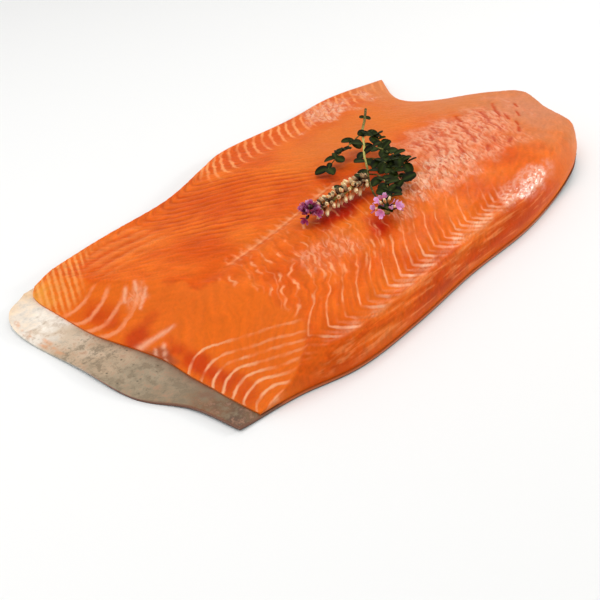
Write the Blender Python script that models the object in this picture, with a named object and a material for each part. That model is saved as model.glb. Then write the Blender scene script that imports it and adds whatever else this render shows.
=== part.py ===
"""A side of smoked salmon on its skin, sliced at the tail end, with flowering thyme laid on top.

Frame: metres, +Z up. The origin is under the middle of the side, on the surface it lies on.
+X runs along the fish from the sliced tail end to the head end, and +Y from the back to the belly.
"""

import math
import random

import bmesh
import bpy
import numpy as np
from mathutils import Matrix, Vector
from mathutils.bvhtree import BVHTree

MM = 0.001
SHARP_ANGLE = math.radians(40)

# Outline of the skin in plan, in millimetres, as four edges that meet at the corners.
TAIL_EDGE = [(-157, -76), (-162, -50), (-174, -24), (-178, 12), (-182, 52), (-176, 70), (-162, 78)]
BACK_EDGE = [(-157, -76), (-126, -82), (-92, -92.5), (-50, -95), (0, -94.5), (50, -97), (90, -94.5),
             (122, -90), (147, -81)]
HEAD_EDGE = [(147, -81), (162, -67), (170, -46), (184, -22.5), (172, -4), (150, 22), (139.5, 42),
             (144, 60), (167, 88)]
BELLY_EDGE = [(-162, 78), (-117, 81), (-60, 83.5), (-18, 94.5), (10, 100.5), (72, 97.5),
              (113, 97), (167, 88)]

# Skin: its thickness, how far the flesh is set back from its edge, and the gap under the flesh.
SKIN_THICKNESS = 1.5 * MM
SKIN_MARGIN = 1.0 * MM
SKIN_GAP = 0.3 * MM
# Where the skin's edge turns up, it peels away from the flesh by this share of its lift.
SKIN_PEEL = 0.06
# Bare skin that the slices left at the tail end: share of the way to the belly, then its length.
BARE_SKIN = [(0.0, 14.0), (0.12, 15.0), (0.36, 27.0), (0.6, 23.0), (0.82, 23.0), (1.0, 8.0)]
# How far the skin lifts at each edge, and over what distance.
LIFT_BACK, LIFT_BACK_REACH = 0.4 * MM, 16 * MM
LIFT_SHOULDER, LIFT_SHOULDER_AT, LIFT_SHOULDER_SHARE = 4.5 * MM, 0.93, 0.08
LIFT_HEAD, LIFT_HEAD_REACH = 0.5 * MM, 12 * MM
LIFT_BELLY, LIFT_BELLY_REACH = 0.8 * MM, 9 * MM
LIFT_TAIL, LIFT_TAIL_REACH, LIFT_TAIL_WAVES = 1.2 * MM, 12 * MM, 2.6

# Height of the flesh: share of the way from back to belly, then millimetres.
HEIGHT_ACROSS = [(0.0, 22.0), (0.1, 25.5), (0.22, 27.0), (0.36, 25.5), (0.5, 22.5), (0.64, 18.0),
                 (0.78, 13.5), (0.9, 10.0), (1.0, 8.5)]
# Share of that height along the fish: share of the way from tail to head, then the factor.
HEIGHT_ALONG = [(0.0, 0.86), (0.25, 0.95), (0.55, 1.0), (0.8, 0.97), (0.92, 0.86), (1.0, 0.74)]
RIM_HEIGHT = 1.2 * MM
ROUND_BACK = 21 * MM
ROUND_HEAD = 8 * MM
ROUND_BELLY = 6 * MM
# The slicing cut at the tail end: how thick its front edge is, how steep it rises and how hollow.
CUT_FRONT = 0.8 * MM
CUT_ANGLE = math.radians(23)
CUT_HOLLOW = 1.6 * MM
CUT_HOLLOW_REACH = 34 * MM
# The pin-bone groove along the middle of the side.
GROOVE_ACROSS = 0.48
GROOVE_WIDTH, GROOVE_DEPTH = 5 * MM, 1.3 * MM
GROOVE_FROM, GROOVE_TO, GROOVE_FADE = 0.12, 0.62, 0.08
# Slow unevenness of the flesh: its height, its waves along and across, and how they slant.
UNEVEN = 0.5 * MM
UNEVEN_ALONG, UNEVEN_ACROSS = 3.1, 2.3
SLANT_ALONG, SLANT_ACROSS = 4.0, -5.0

# Mesh steps along and across, and how much closer they get towards the edges, along and across.
FLESH_STEPS, FLESH_CROWDING = (58, 31), (0.6, 0.7)
SKIN_STEPS, SKIN_CROWDING = (26, 20), (0.8, 0.85)

# Thyme stems: points in plan and height over the flesh, in millimetres, from their thick end.
MAIN_STEM = [(74, 33.5, 14), (61, 24.5, 12), (51, 18.5, 9.5), (35.5, 5.5, 8.5), (21, -6, 8.5),
             (9.5, -17, 8), (-2.5, -27.5, 7.5), (-12.5, -39, 7), (-19, -49.5, 7)]
# Twigs: points as above, the number of leaf pairs and the size of the leaves.
TWIGS = [([(51, 18, 9), (35.5, 14, 8.5), (18.5, 11.5, 7), (5, 8, 5)], 4, 1.0),
         ([(50, 18, 9.5), (43, 6.5, 11), (38.5, -5, 10)], 3, 0.95),
         ([(33, 3, 8.5), (31, -9.5, 10), (28, -21.5, 9.5), (26.5, -31, 7.5)], 6, 1.0),
         ([(19.5, -8, 8.5), (20.5, -16.5, 9), (16.5, -28.5, 8.5), (10.5, -40, 6.5)], 6, 1.0),
         ([(5, -21.5, 8), (6.5, -27.5, 8), (-1.5, -39, 8), (-9.5, -46, 7.5)], 4, 1.0)]
THYME_GAP = 0.35 * MM
STEM_RADIUS, TWIG_RADIUS, STEM_TAPER = 1.1 * MM, 0.6 * MM, 0.4
STEM_SIDES, STEM_STEPS, TWIG_STEPS, SPIKE_STEPS = 5, 16, 8, 10
# The main stem bears small leaves near its thick end and larger ones further along.
MAIN_LEAVES = [((1, 3), 1, 0.5), ((4, 11), 4, 0.9)]
LEAF_LENGTH, LEAF_WIDTH, LEAF_THICKNESS = 7.8 * MM, 5.8 * MM, 0.7 * MM
LEAF_STATIONS = (0.13, 0.5, 0.88)
# Every other leaf pair is turned round the stem by this angle.
LEAF_TURN = math.radians(50)
FIRST_LEAVES = 0.3
# How far a leaf's edges lift and wave and its tip drops, as shares of its width and length.
LEAF_LIFT, LEAF_WAVE, LEAF_DROP = 0.22, 0.07, 0.35
# A piece that would touch the flesh is tilted up by this slope, at most this many times.
TILT_STEP, TILT_TRIES = 0.25, 8
# Flower spike: its stem, and the whorls of small cups along it.
SPIKE = [(1.5, -23.5, 7.5), (-9, -21.5, 7), (-20, -21, 6.8), (-33, -20, 6.5), (-42.5, -19, 6.3)]
SPIKE_CORE = 2.2 * MM
WHORL_SPACING = 4.3 * MM
CUPS_PER_WHORL = 5
CUP_LENGTH, CUP_RADIUS, CUP_SIDES = 5.4 * MM, 1.35 * MM, 4
# A cup's outline: share of its length, then of its radius.
CUP_OUTLINE = ((0.3, 0.75), (0.8, 1.0))
CUP_LEAN = 0.7
# Open flowers, and the head of them at the end of the main stem.
PETALS, PETAL_LENGTH, PETAL_WIDTH, PETAL_THICKNESS = 4, 2.9 * MM, 2.4 * MM, 0.6 * MM
PETAL_STATIONS, PETAL_BEND, PETAL_RISE = (0.6,), 0.3, 0.5
FLOWER_CUP, FLOWER_MOUTH = 0.8, 0.62
FLOWER_HEAD = (-20, -52, 7.5)
HEAD_FLOWERS, HEAD_REACH, HEAD_KNOB = 9, 5.4 * MM, 4.0 * MM
SPIKE_FLOWERS, SPIKE_REACH = 6, 2.6 * MM
# The flowers of a head face from straight up, the first, to a little below level, the last.
FIRST_FLOWER_UP, LAST_FLOWER_UP = 0.95, -0.2
GOLDEN_ANGLE = math.pi * (3 - math.sqrt(5))
SEED = 7


def clear_scene():
    """Remove every object that the file opened with."""
    for old in list(bpy.data.objects):
        bpy.data.objects.remove(old)


def material(name, colour, roughness):
    """A plain material for one sub-part."""
    made = bpy.data.materials.new(name)
    made.use_nodes = True
    shader = made.node_tree.nodes["Principled BSDF"]
    shader.inputs["Base Color"].default_value = (*colour, 1.0)
    shader.inputs["Roughness"].default_value = roughness
    shader.inputs["Metallic"].default_value = 0.0
    return made


def smooth_curve(points, count=200):
    """A smooth curve through the points, sampled evenly along its length."""
    p = np.asarray(points, float)
    p = np.vstack([2 * p[0] - p[1], p, 2 * p[-1] - p[-2]])
    t = np.linspace(0, 1, 24, endpoint=False)[:, None]
    run = []
    for a, b, c, d in zip(p, p[1:], p[2:], p[3:]):
        run.append(0.5 * (2 * b + (c - a) * t + (2 * a - 5 * b + 4 * c - d) * t**2
                          + (3 * b - a - 3 * c + d) * t**3))
    run = np.vstack([*run, p[-2][None]])
    length = np.concatenate([[0], np.cumsum(np.linalg.norm(np.diff(run, axis=0), axis=1))])
    even = np.linspace(0, length[-1], count)
    return np.column_stack([np.interp(even, length, run[:, i]) for i in range(run.shape[1])])


def on_curve(curve, share):
    """Points at these shares of the curve's length."""
    at = np.asarray(share, float) * (len(curve) - 1)
    return np.stack([np.interp(at, np.arange(len(curve)), curve[:, i])
                     for i in range(curve.shape[1])], axis=-1)


def profile(pairs, at):
    """A smooth profile through (place, value) pairs."""
    place, value = np.array(pairs, float).T
    slope = np.gradient(value, place)
    i = np.clip(np.searchsorted(place, at, side="right") - 1, 0, len(place) - 2)
    step = place[i + 1] - place[i]
    t = np.clip((at - place[i]) / step, 0, 1)
    return ((2 * t**3 - 3 * t**2 + 1) * value[i] + (t**3 - 2 * t**2 + t) * step * slope[i]
            + (3 * t**2 - 2 * t**3) * value[i + 1] + (t**3 - t**2) * step * slope[i + 1])


EDGES = {name: smooth_curve(points) * MM for name, points in
         {"tail": TAIL_EDGE, "back": BACK_EDGE, "head": HEAD_EDGE, "belly": BELLY_EDGE}.items()}
LENGTH, WIDTH = np.ptp(np.vstack(list(EDGES.values())), axis=0)


def plan(u, v):
    """Place in plan at u, from tail to head, and v, from back to belly, both 0 to 1."""
    back, belly = on_curve(EDGES["back"], u), on_curve(EDGES["belly"], u)
    tail, head = on_curve(EDGES["tail"], v), on_curve(EDGES["head"], v)
    u, v = u[..., None], v[..., None]
    corners = ((1 - u) * (1 - v) * EDGES["back"][0] + u * (1 - v) * EDGES["back"][-1]
               + (1 - u) * v * EDGES["belly"][0] + u * v * EDGES["belly"][-1])
    return (1 - v) * back + v * belly + (1 - u) * tail + u * head - corners


def rise(distance, reach):
    """A quarter-round shoulder: 0 at the edge and 1 from the reach inwards."""
    t = np.clip(distance / reach, 0, 1)
    return np.sqrt(np.clip(1 - (1 - t) ** 2, 0, 1))


def lift(distance, reach):
    """1 at the edge, falling smoothly to 0 at the reach."""
    return np.clip(1 - distance / reach, 0, 1) ** 2


def skin_under(u, v):
    """Height of the skin's underside, flat except where its edges turn up."""
    shoulder = np.exp(-(((u - LIFT_SHOULDER_AT) / LIFT_SHOULDER_SHARE) ** 2))
    back = (LIFT_BACK + LIFT_SHOULDER * shoulder) * lift(v * WIDTH, LIFT_BACK_REACH)
    head = LIFT_HEAD * lift((1 - u) * LENGTH, LIFT_HEAD_REACH)
    belly = LIFT_BELLY * lift((1 - v) * WIDTH, LIFT_BELLY_REACH)
    ripple = 0.5 + 0.5 * np.sin(LIFT_TAIL_WAVES * math.tau * v)
    tail = LIFT_TAIL * ripple * lift(u * LENGTH, LIFT_TAIL_REACH)
    return back + head + belly + tail


def flesh_under(u, v):
    """Height of the flesh's underside, just clear of the skin."""
    return skin_under(u, v) * (1 + SKIN_PEEL) + SKIN_THICKNESS + SKIN_GAP


def bare_skin(v):
    """Length of skin left bare at the tail end."""
    return profile(BARE_SKIN, v) * MM


def flesh_top(u, v):
    """Height of the flesh's upper surface."""
    body = profile(HEIGHT_ACROSS, v) * profile(HEIGHT_ALONG, u) * MM
    rim = flesh_under(u, v) + RIM_HEIGHT
    edges = (rise(v * WIDTH, ROUND_BACK) * rise((1 - v) * WIDTH, ROUND_BELLY)
             * rise((1 - u) * LENGTH, ROUND_HEAD))
    in_groove = np.clip(np.minimum(u - GROOVE_FROM, GROOVE_TO - u) / GROOVE_FADE, 0, 1)
    groove = GROOVE_DEPTH * in_groove * np.exp(-(((v - GROOVE_ACROSS) * WIDTH / GROOVE_WIDTH) ** 2))
    uneven = UNEVEN * (np.sin(UNEVEN_ALONG * math.tau * u + SLANT_ALONG * v)
                       + np.sin(UNEVEN_ACROSS * math.tau * v + SLANT_ACROSS * u))
    surface = rim + (body - rim + uneven) * edges - groove
    run = np.maximum(u * LENGTH - bare_skin(v), 0)
    hollow = CUT_HOLLOW * np.sin(math.pi * np.clip(run / CUT_HOLLOW_REACH, 0, 1))
    front = flesh_under(u, v) + CUT_FRONT
    cut = front + run * math.tan(CUT_ANGLE) - hollow
    return np.minimum(surface, cut)


def grid(steps, crowding, low, high):
    """Shares along and across from low to high, closer together towards the edges."""
    run = []
    for count, crowd, first, last in zip(steps, crowding, low, high):
        t = np.linspace(0, 1, count + 1)
        run.append(first + (last - first) * (t - crowd * np.sin(math.tau * t) / math.tau))
    return np.meshgrid(*run, indexing="ij")


def closed_slab(name, top, under, finish):
    """A closed solid between two grids of points that lie over each other.

    Faces that lie in one plane, such as those of a flat underside, are joined first.
    """
    bm = bmesh.new()
    rims = []
    for points in (top, under):
        rows = [[bm.verts.new(p) for p in row] for row in points]
        for a, b in zip(rows, rows[1:]):
            for i in range(len(a) - 1):
                bm.faces.new((a[i], b[i], b[i + 1], a[i + 1]))
        rims.append([row[0] for row in rows] + rows[-1][1:] + [row[-1] for row in rows[-2::-1]]
                    + rows[0][-2:0:-1])
    upper, lower = rims
    for i in range(len(upper)):
        bm.faces.new((upper[i - 1], upper[i], lower[i], lower[i - 1]))
    bmesh.ops.recalc_face_normals(bm, faces=bm.faces[:])
    bm.normal_update()
    bmesh.ops.dissolve_limit(bm, angle_limit=1e-4, verts=bm.verts[:], edges=bm.edges[:])
    bmesh.ops.triangulate(bm, faces=bm.faces[:])
    return finished(name, bm, finish)


def finished(name, bm, finish):
    """The bmesh as a named object with its material, shaded smooth over its gentle edges."""
    bmesh.ops.recalc_face_normals(bm, faces=bm.faces[:])
    mesh = bpy.data.meshes.new(name)
    bm.to_mesh(mesh)
    bm.free()
    mesh.materials.append(finish)
    mesh.shade_smooth()
    mesh.set_sharp_from_angle(angle=SHARP_ANGLE)
    made = bpy.data.objects.new(name, mesh)
    bpy.context.scene.collection.objects.link(made)
    return made


def make_skin():
    """The skin: one thin sheet under all of the side, bare at the tail end."""
    u, v = grid(SKIN_STEPS, SKIN_CROWDING, (0, 0), (1, 1))
    under = np.dstack([plan(u, v), skin_under(u, v)])
    top = under + np.array([0, 0, SKIN_THICKNESS])
    return closed_slab("skin", top, under, material("skin", (0.42, 0.38, 0.32), 0.45))


def make_flesh():
    """The flesh: the whole side over the skin, with the slicing cut at its tail end."""
    margin = SKIN_MARGIN / WIDTH
    s, v = grid(FLESH_STEPS, FLESH_CROWDING, (0, margin), (1 - SKIN_MARGIN / LENGTH, 1 - margin))
    start = bare_skin(v) / LENGTH
    u = start + (1 - start) * s
    place = plan(u, v)
    under = np.dstack([place, flesh_under(u, v)])
    top = np.dstack([place, flesh_top(u, v)])
    return closed_slab("flesh", top, under, material("flesh", (0.86, 0.22, 0.04), 0.35))


def loft(bm, rings, start, end):
    """A closed skin over rings of points, drawn to a point at both ends."""
    loops = [[bm.verts.new(p) for p in points] for points in rings]
    first, last = bm.verts.new(start), bm.verts.new(end)
    count = len(loops[0])
    for i in range(count):
        j = (i + 1) % count
        bm.faces.new((first, loops[0][j], loops[0][i]))
        bm.faces.new((last, loops[-1][i], loops[-1][j]))
        for a, b in zip(loops, loops[1:]):
            bm.faces.new((a[i], a[j], b[j]))
            bm.faces.new((a[i], b[j], b[i]))


def stem(points, radius):
    """A round stem along the points, tapering towards its tip and rounded at both ends."""
    rings = []
    for i, p in enumerate(points):
        x, y, z = axes(points[min(i + 1, len(points) - 1)] - points[max(i - 1, 0)])
        r = radius * (1 - STEM_TAPER * i / (len(points) - 1))
        rings.append([p + r * (math.cos(a) * y + math.sin(a) * z)
                      for a in (math.tau * k / STEM_SIDES for k in range(STEM_SIDES))])
    bm = bmesh.new()
    start = points[0] - radius / 2 * (points[1] - points[0]).normalized()
    end = points[-1] + radius / 2 * (points[-1] - points[-2]).normalized()
    loft(bm, rings, start, end)
    return bm


def leaf(place, length, width, thickness, bend, stations):
    """A thin wavy leaf from its base along +X, both faces split alike.

    The bend drops the tip, and the edges lift over the midrib.
    """

    def point(t, side, face):
        half = 0.5 * width * math.sin(math.pi * t**0.9) ** 0.6
        wave = LEAF_WAVE * width * math.sin(3 * math.pi * t + 1.4 * side)
        drop = LEAF_DROP * bend * length * t * t
        return place @ Vector((length * t, side * half,
                               abs(side) * (LEAF_LIFT * half + wave) + face - drop))

    bm = bmesh.new()
    half = 0.5 * thickness
    rings = [[point(t, -1, 0), point(t, 0, half), point(t, 1, 0), point(t, 0, -half)]
             for t in stations]
    loft(bm, rings, point(0, 0, 0), point(1, 0, 0))
    return bm


def cup(place, size):
    """A small flower cup, narrow at its foot and widest near its mouth."""
    length, radius = CUP_LENGTH * size, CUP_RADIUS * size
    rings = [[place @ Vector((length * t, radius * r * math.cos(a), radius * r * math.sin(a)))
              for a in (math.tau * k / CUP_SIDES for k in range(CUP_SIDES))]
             for t, r in CUP_OUTLINE]
    bm = bmesh.new()
    loft(bm, rings, place @ Vector((0, 0, 0)), place @ Vector((length, 0, 0)))
    return bm


def axes(along):
    """Unit axes for something that runs along a direction: along, sideways and over."""
    x = along.normalized()
    y = Vector((0, 0, 1)).cross(x).normalized()
    return x, y, x.cross(y)


def facing(origin, along, over):
    """A matrix at origin whose +X points along and whose +Z leans over."""
    x = along.normalized()
    y = over.cross(x).normalized()
    made = Matrix((x, y, x.cross(y))).transposed().to_4x4()
    made.translation = origin
    return made


def along_path(path, share):
    """The place at this share of a path, and the path's direction there."""
    at = share * (len(path) - 1)
    i = min(int(at), len(path) - 2)
    return path[i].lerp(path[i + 1], at - i), path[i + 1] - path[i]


class Sprig:
    """The thyme: pieces that lie on the flesh without touching it, to be fused into one."""

    def __init__(self, flesh):
        self.tree = BVHTree.FromObject(flesh, bpy.context.evaluated_depsgraph_get())
        self.rng = random.Random(SEED)
        self.pieces = []

    def height(self, x, y):
        """Height of the flesh at a place in plan."""
        return self.tree.ray_cast(Vector((x, y, 1.0)), Vector((0, 0, -1)))[0].z

    def path(self, points, count):
        """A smooth run of points given in plan and by their height over the flesh."""
        return [Vector((x, y, self.height(x, y) + h))
                for x, y, h in smooth_curve(points, count) * MM]

    def clearance(self, verts):
        """The least height of these vertices over the flesh."""
        return min(v.co.z - self.height(v.co.x, v.co.y) for v in verts)

    def add(self, make, origin, along, over):
        """Add a piece, tilted up in steps until it clears the flesh, or leave it out."""
        along = along.normalized()
        for step in range(TILT_TRIES):
            made = make(facing(origin, along + Vector((0, 0, TILT_STEP * step)), over))
            if self.clearance(made.verts) > THYME_GAP:
                self.pieces.append(made)
                return
            made.free()

    def add_stem(self, points, radius, count):
        """Add a stem and return its path."""
        path = self.path(points, count)
        self.pieces.append(stem(path, radius))
        return path

    def add_leaf(self, origin, along, over, size):
        """Add one leaf of about this size."""
        scale = size * self.rng.uniform(0.85, 1.12)
        bend = self.rng.uniform(0.1, 0.8)
        self.add(lambda place: leaf(place, LEAF_LENGTH * scale, LEAF_WIDTH * scale,
                                    LEAF_THICKNESS, bend, LEAF_STATIONS), origin, along, over)

    def add_leaves(self, path, pairs, size):
        """Add leaves in opposite pairs, every other pair turned round the stem."""
        for pair in range(pairs):
            share = FIRST_LEAVES + (1 - FIRST_LEAVES) * pair / max(1, pairs - 1)
            origin, heading = along_path(path, share)
            x, y, z = axes(heading)
            turn = (pair % 2) * LEAF_TURN + self.rng.uniform(-0.35, 0.35)
            for half in (0, math.pi):
                out = math.cos(turn + half) * y + math.sin(turn + half) * z
                out.z = max(out.z, -0.1)
                up = Vector((self.rng.uniform(-0.5, 0.3), self.rng.uniform(-0.5, 0.3), 1))
                self.add_leaf(origin, out + x * self.rng.uniform(0.2, 0.9), up, size)

    def add_flower(self, origin, out, over):
        """Add an open flower: a cup with four petals round its mouth."""
        out = out.normalized()
        self.add(lambda place: cup(place, FLOWER_CUP), origin, out, over)
        side = out.orthogonal().normalized()
        across = out.cross(side)
        mouth = origin + out * CUP_LENGTH * FLOWER_MOUTH
        start = self.rng.uniform(0, math.tau)
        for petal in range(PETALS):
            turn = start + math.tau * petal / PETALS
            spread = math.cos(turn) * side + math.sin(turn) * across
            self.add(lambda place: leaf(place, PETAL_LENGTH, PETAL_WIDTH, PETAL_THICKNESS,
                                        PETAL_BEND, PETAL_STATIONS),
                     mouth, spread + PETAL_RISE * out, out)

    def add_twigs(self):
        """Add the main stem and its leafy twigs."""
        main = self.add_stem(MAIN_STEM, STEM_RADIUS, STEM_STEPS)
        for (first, last), pairs, size in MAIN_LEAVES:
            self.add_leaves(main[first:last], pairs, size)
        for points, pairs, size in TWIGS:
            self.add_leaves(self.add_stem(points, TWIG_RADIUS, TWIG_STEPS), pairs, size)

    def add_spike(self):
        """Add the flower spike: whorls of cups round a stem, with open flowers at its tip."""
        path = self.add_stem(SPIKE, SPIKE_CORE, SPIKE_STEPS)
        length = sum((b - a).length for a, b in zip(path, path[1:]))
        whorls = int(length / WHORL_SPACING)
        for whorl in range(whorls):
            origin, heading = along_path(path, (whorl + 0.5) / whorls)
            x, y, z = axes(heading)
            for k in range(CUPS_PER_WHORL):
                turn = math.tau * (k + 0.5 * (whorl % 2)) / CUPS_PER_WHORL
                turn += self.rng.uniform(-0.2, 0.2)
                out = math.cos(turn) * y + math.sin(turn) * z
                scale = self.rng.uniform(0.8, 1.1)
                self.add(lambda place: cup(place, scale),
                         origin + out * SPIKE_CORE / 2, out + x * CUP_LEAN, z)
        self.add_flowers(path[-1], SPIKE_FLOWERS, SPIKE_REACH)

    def add_flowers(self, centre, count, reach):
        """Add flowers that face out and up, spread evenly round a centre."""
        for k in range(count):
            up = FIRST_FLOWER_UP + (LAST_FLOWER_UP - FIRST_FLOWER_UP) * k / (count - 1)
            level = math.sqrt(1 - up**2)
            turn = GOLDEN_ANGLE * k
            out = Vector((level * math.cos(turn), level * math.sin(turn), up))
            self.add_flower(centre + out * reach / 2, out, out.orthogonal())

    def add_head(self):
        """Add the flower head at the end of the main stem."""
        x, y, h = (value * MM for value in FLOWER_HEAD)
        centre = Vector((x, y, self.height(x, y) + h))
        knob = bmesh.new()
        bmesh.ops.create_icosphere(knob, subdivisions=1, radius=HEAD_KNOB,
                                   matrix=Matrix.Translation(centre))
        self.pieces.append(knob)
        self.add_flowers(centre, HEAD_FLOWERS, HEAD_REACH)


def fuse(name, pieces, finish):
    """One solid from many overlapping ones, by one Boolean union.

    Each piece is closed, as the MANIFOLD solver needs.
    """
    cutters = bpy.data.collections.new(name + "_pieces")
    bpy.context.scene.collection.children.link(cutters)
    core = finished(name, pieces[0], finish)
    for i, bm in enumerate(pieces[1:]):
        piece = finished(f"{name}_{i:03d}", bm, finish)
        bpy.context.scene.collection.objects.unlink(piece)
        cutters.objects.link(piece)
    union = core.modifiers.new("union", "BOOLEAN")
    union.operation = "UNION"
    union.operand_type = "COLLECTION"
    union.collection = cutters
    union.solver = "MANIFOLD"
    bpy.context.view_layer.update()
    joined = bpy.data.meshes.new_from_object(
        core.evaluated_get(bpy.context.evaluated_depsgraph_get()))
    core.modifiers.clear()
    core.data = joined
    for piece in list(cutters.objects):
        bpy.data.objects.remove(piece)
    bpy.data.collections.remove(cutters)
    keep_largest_shell(core.data)
    return core


def keep_largest_shell(mesh):
    """Drop loose scraps, and fill hollows that the union sealed."""
    bm = bmesh.new()
    bm.from_mesh(mesh)
    left = set(bm.verts)
    shells = []
    while left:
        shell, edge = set(), {left.pop()}
        while edge:
            shell |= edge
            edge = {e.other_vert(v) for v in edge for e in v.link_edges} - shell
        left -= shell
        shells.append(shell)
    largest = max(shells, key=len)
    bmesh.ops.delete(bm, geom=[v for v in bm.verts if v not in largest], context="VERTS")
    bm.to_mesh(mesh)
    bm.free()


def centre(things):
    """Move the things together until the origin is under their middle, at their lowest place."""
    corners = np.array([tuple(v.co) for thing in things for v in thing.data.vertices])
    low, high = corners.min(axis=0), corners.max(axis=0)
    shift = (-(low[0] + high[0]) / 2, -(low[1] + high[1]) / 2, -low[2])
    for thing in things:
        thing.data.transform(Matrix.Translation(shift))


def main():
    """Build the side and lay the thyme on it."""
    clear_scene()
    skin = make_skin()
    flesh = make_flesh()
    sprig = Sprig(flesh)
    sprig.add_twigs()
    sprig.add_spike()
    sprig.add_head()
    laid = fuse("thyme_sprig", sprig.pieces, material("thyme", (0.05, 0.12, 0.03), 0.5))
    drop = sprig.clearance(laid.data.vertices) - THYME_GAP
    laid.data.transform(Matrix.Translation((0, 0, -drop)))
    centre([skin, flesh, laid])


main()
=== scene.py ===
"""Looks of a side of smoked salmon with flowering thyme on it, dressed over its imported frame.

Sizes are in millimetres and the meshes in metres. +X runs from the sliced tail end to the head end,
+Y from the back to the belly, and +Z up.
"""

import logging
import math
import random
from dataclasses import dataclass, field
from enum import Enum
from functools import partial
from typing import Any, Iterable, Sequence

import bpy
import numpy as np
from bpy.types import Material, Mesh, NodeSocket, Object
from mathutils import Matrix, Vector, noise
from mathutils.bvhtree import BVHTree


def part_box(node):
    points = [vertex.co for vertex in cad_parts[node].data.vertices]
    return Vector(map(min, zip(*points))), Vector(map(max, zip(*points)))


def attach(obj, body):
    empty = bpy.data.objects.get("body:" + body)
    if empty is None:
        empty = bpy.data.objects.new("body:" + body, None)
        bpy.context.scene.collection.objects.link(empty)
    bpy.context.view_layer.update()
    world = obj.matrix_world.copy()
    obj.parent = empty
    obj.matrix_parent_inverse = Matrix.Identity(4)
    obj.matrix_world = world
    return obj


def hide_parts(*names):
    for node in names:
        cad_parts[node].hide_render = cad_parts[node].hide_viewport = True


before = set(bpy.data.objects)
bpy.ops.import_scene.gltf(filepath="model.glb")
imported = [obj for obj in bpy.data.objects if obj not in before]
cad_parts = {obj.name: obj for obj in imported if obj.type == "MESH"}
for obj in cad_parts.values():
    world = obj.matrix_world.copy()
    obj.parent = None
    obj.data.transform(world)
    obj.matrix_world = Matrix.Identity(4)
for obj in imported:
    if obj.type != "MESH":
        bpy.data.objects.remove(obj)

MM = 0.001
UP = Vector((0, 0, 1))
# The type of the node that reads a mark of the mesh while a piece grows.
MARK = "GeometryNodeInputNamedAttribute"
SHARP_ANGLE = math.radians(50)
GOLDEN_ANGLE = math.pi * (3 - math.sqrt(5))
log = logging.getLogger("salmon")

Array = np.ndarray
Point = tuple[float, float, float]


class Node(Enum):
    """The nodes of the frame, by what they are."""

    FLESH = "flesh"
    SKIN = "skin"
    SPRIG = "thyme_sprig"


class Slot(Enum):
    """The record's material slots."""

    FLESH = "flesh"
    SKIN = "skin"
    THYME = "thyme"


class Organ(Enum):
    """The small repeated parts of the thyme."""

    LEAF = "leaf"
    CALYX = "calyx"
    PETAL = "petal"


def linear(code: str) -> tuple[float, float, float, float]:
    """Turn an sRGB hex colour to linear.

    Args:
        code: The colour as "#rrggbb".

    Returns:
        Linear red, green and blue, and full alpha.
    """
    shares = [int(code[i:i + 2], 16) / 255 for i in (1, 3, 5)]
    r, g, b = [s / 12.92 if s <= 0.04045 else ((s + 0.055) / 1.055) ** 2.4 for s in shares]
    return r, g, b, 1.0


def feed(node: bpy.types.Node, inputs: dict[int | str, Any]) -> None:
    """Link or set some inputs of a node.

    Args:
        node: The node.
        inputs: For each input, by name or number, its socket, its value or its hex colour.
    """
    for name, value in inputs.items():
        if isinstance(value, NodeSocket):
            node.id_data.links.new(value, node.inputs[name])
        else:
            node.inputs[name].default_value = linear(value) if "#" in str(value) else value


def add(tree: bpy.types.NodeTree, kind: str, inputs: Any = (), out: int | str = 0,
        **settings: Any) -> NodeSocket:
    """Add a node with its settings and links.

    Args:
        tree: The shader or geometry tree that it goes into.
        kind: The node's type, without "ShaderNode" where it starts with that.
        inputs: What feed takes, or a plain run for the first inputs.
        out: The output wanted, by name or number.
        **settings: The node's own settings.

    Returns:
        The wanted output, or the first input of a node that has no outputs.
    """
    made = tree.nodes.new(kind if "Node" in kind else "ShaderNode" + kind)
    for name, value in settings.items():
        setattr(made, name, value)
    feed(made, inputs if isinstance(inputs, dict) else dict(enumerate(inputs)))
    return made.outputs[out] if made.outputs else made.inputs[0]


def rise(at: Array, start: float, end: float) -> Array:
    """Ease from 0 at one place to 1 at another, flat beyond both."""
    t = np.clip((at - start) / (end - start), 0, 1)
    return t * t * (3 - 2 * t)


def bell(away: Array) -> Array:
    """1 at 0, and falling to 0 on both sides."""
    return np.exp(-(away**2))


def cloud(x: Array, y: Array, size: float, layer: float = 0.0, octaves: int = 2) -> Array:
    """Smooth noise over places in plan.

    Args:
        x: Places along, in millimetres.
        y: Places across, in millimetres.
        size: Size of its features, in millimetres.
        layer: Which of the many such noises, any number.
        octaves: How many finer layers it has.

    Returns:
        Values of about -1 to 1.
    """
    made = [noise.fractal(Vector((a / size, b / size, layer + 0.37)), 1.0, 2.0, octaves)
            for a, b in zip(x.ravel(), y.ravel())]
    return np.array(made).reshape(x.shape)


def smooth_curve(points: Sequence[Sequence[float]], count: int = 200) -> Array:
    """A smooth curve through points.

    Args:
        points: The points that it passes.
        count: How many samples it gets.

    Returns:
        Samples spread evenly along its length.
    """
    p = np.asarray(points, float)
    p = np.vstack([2 * p[0] - p[1], p, 2 * p[-1] - p[-2]])
    t = np.linspace(0, 1, 24, endpoint=False)[:, None]
    run = [0.5 * (2 * b + (c - a) * t + (2 * a - 5 * b + 4 * c - d) * t**2
                  + (3 * b - a - 3 * c + d) * t**3) for a, b, c, d in zip(p, p[1:], p[2:], p[3:])]
    run = np.vstack([*run, p[-2][None]])
    length = np.concatenate([[0], np.cumsum(np.linalg.norm(np.diff(run, axis=0), axis=1))])
    even = np.linspace(0, length[-1], count)
    return np.column_stack([np.interp(even, length, values) for values in run.T])


def on_curve(curve: Array, share: Array) -> Array:
    """Points of a curve at these shares of its length."""
    at, steps = share * (len(curve) - 1), np.arange(len(curve))
    return np.stack([np.interp(at, steps, values) for values in curve.T], axis=-1)


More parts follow.
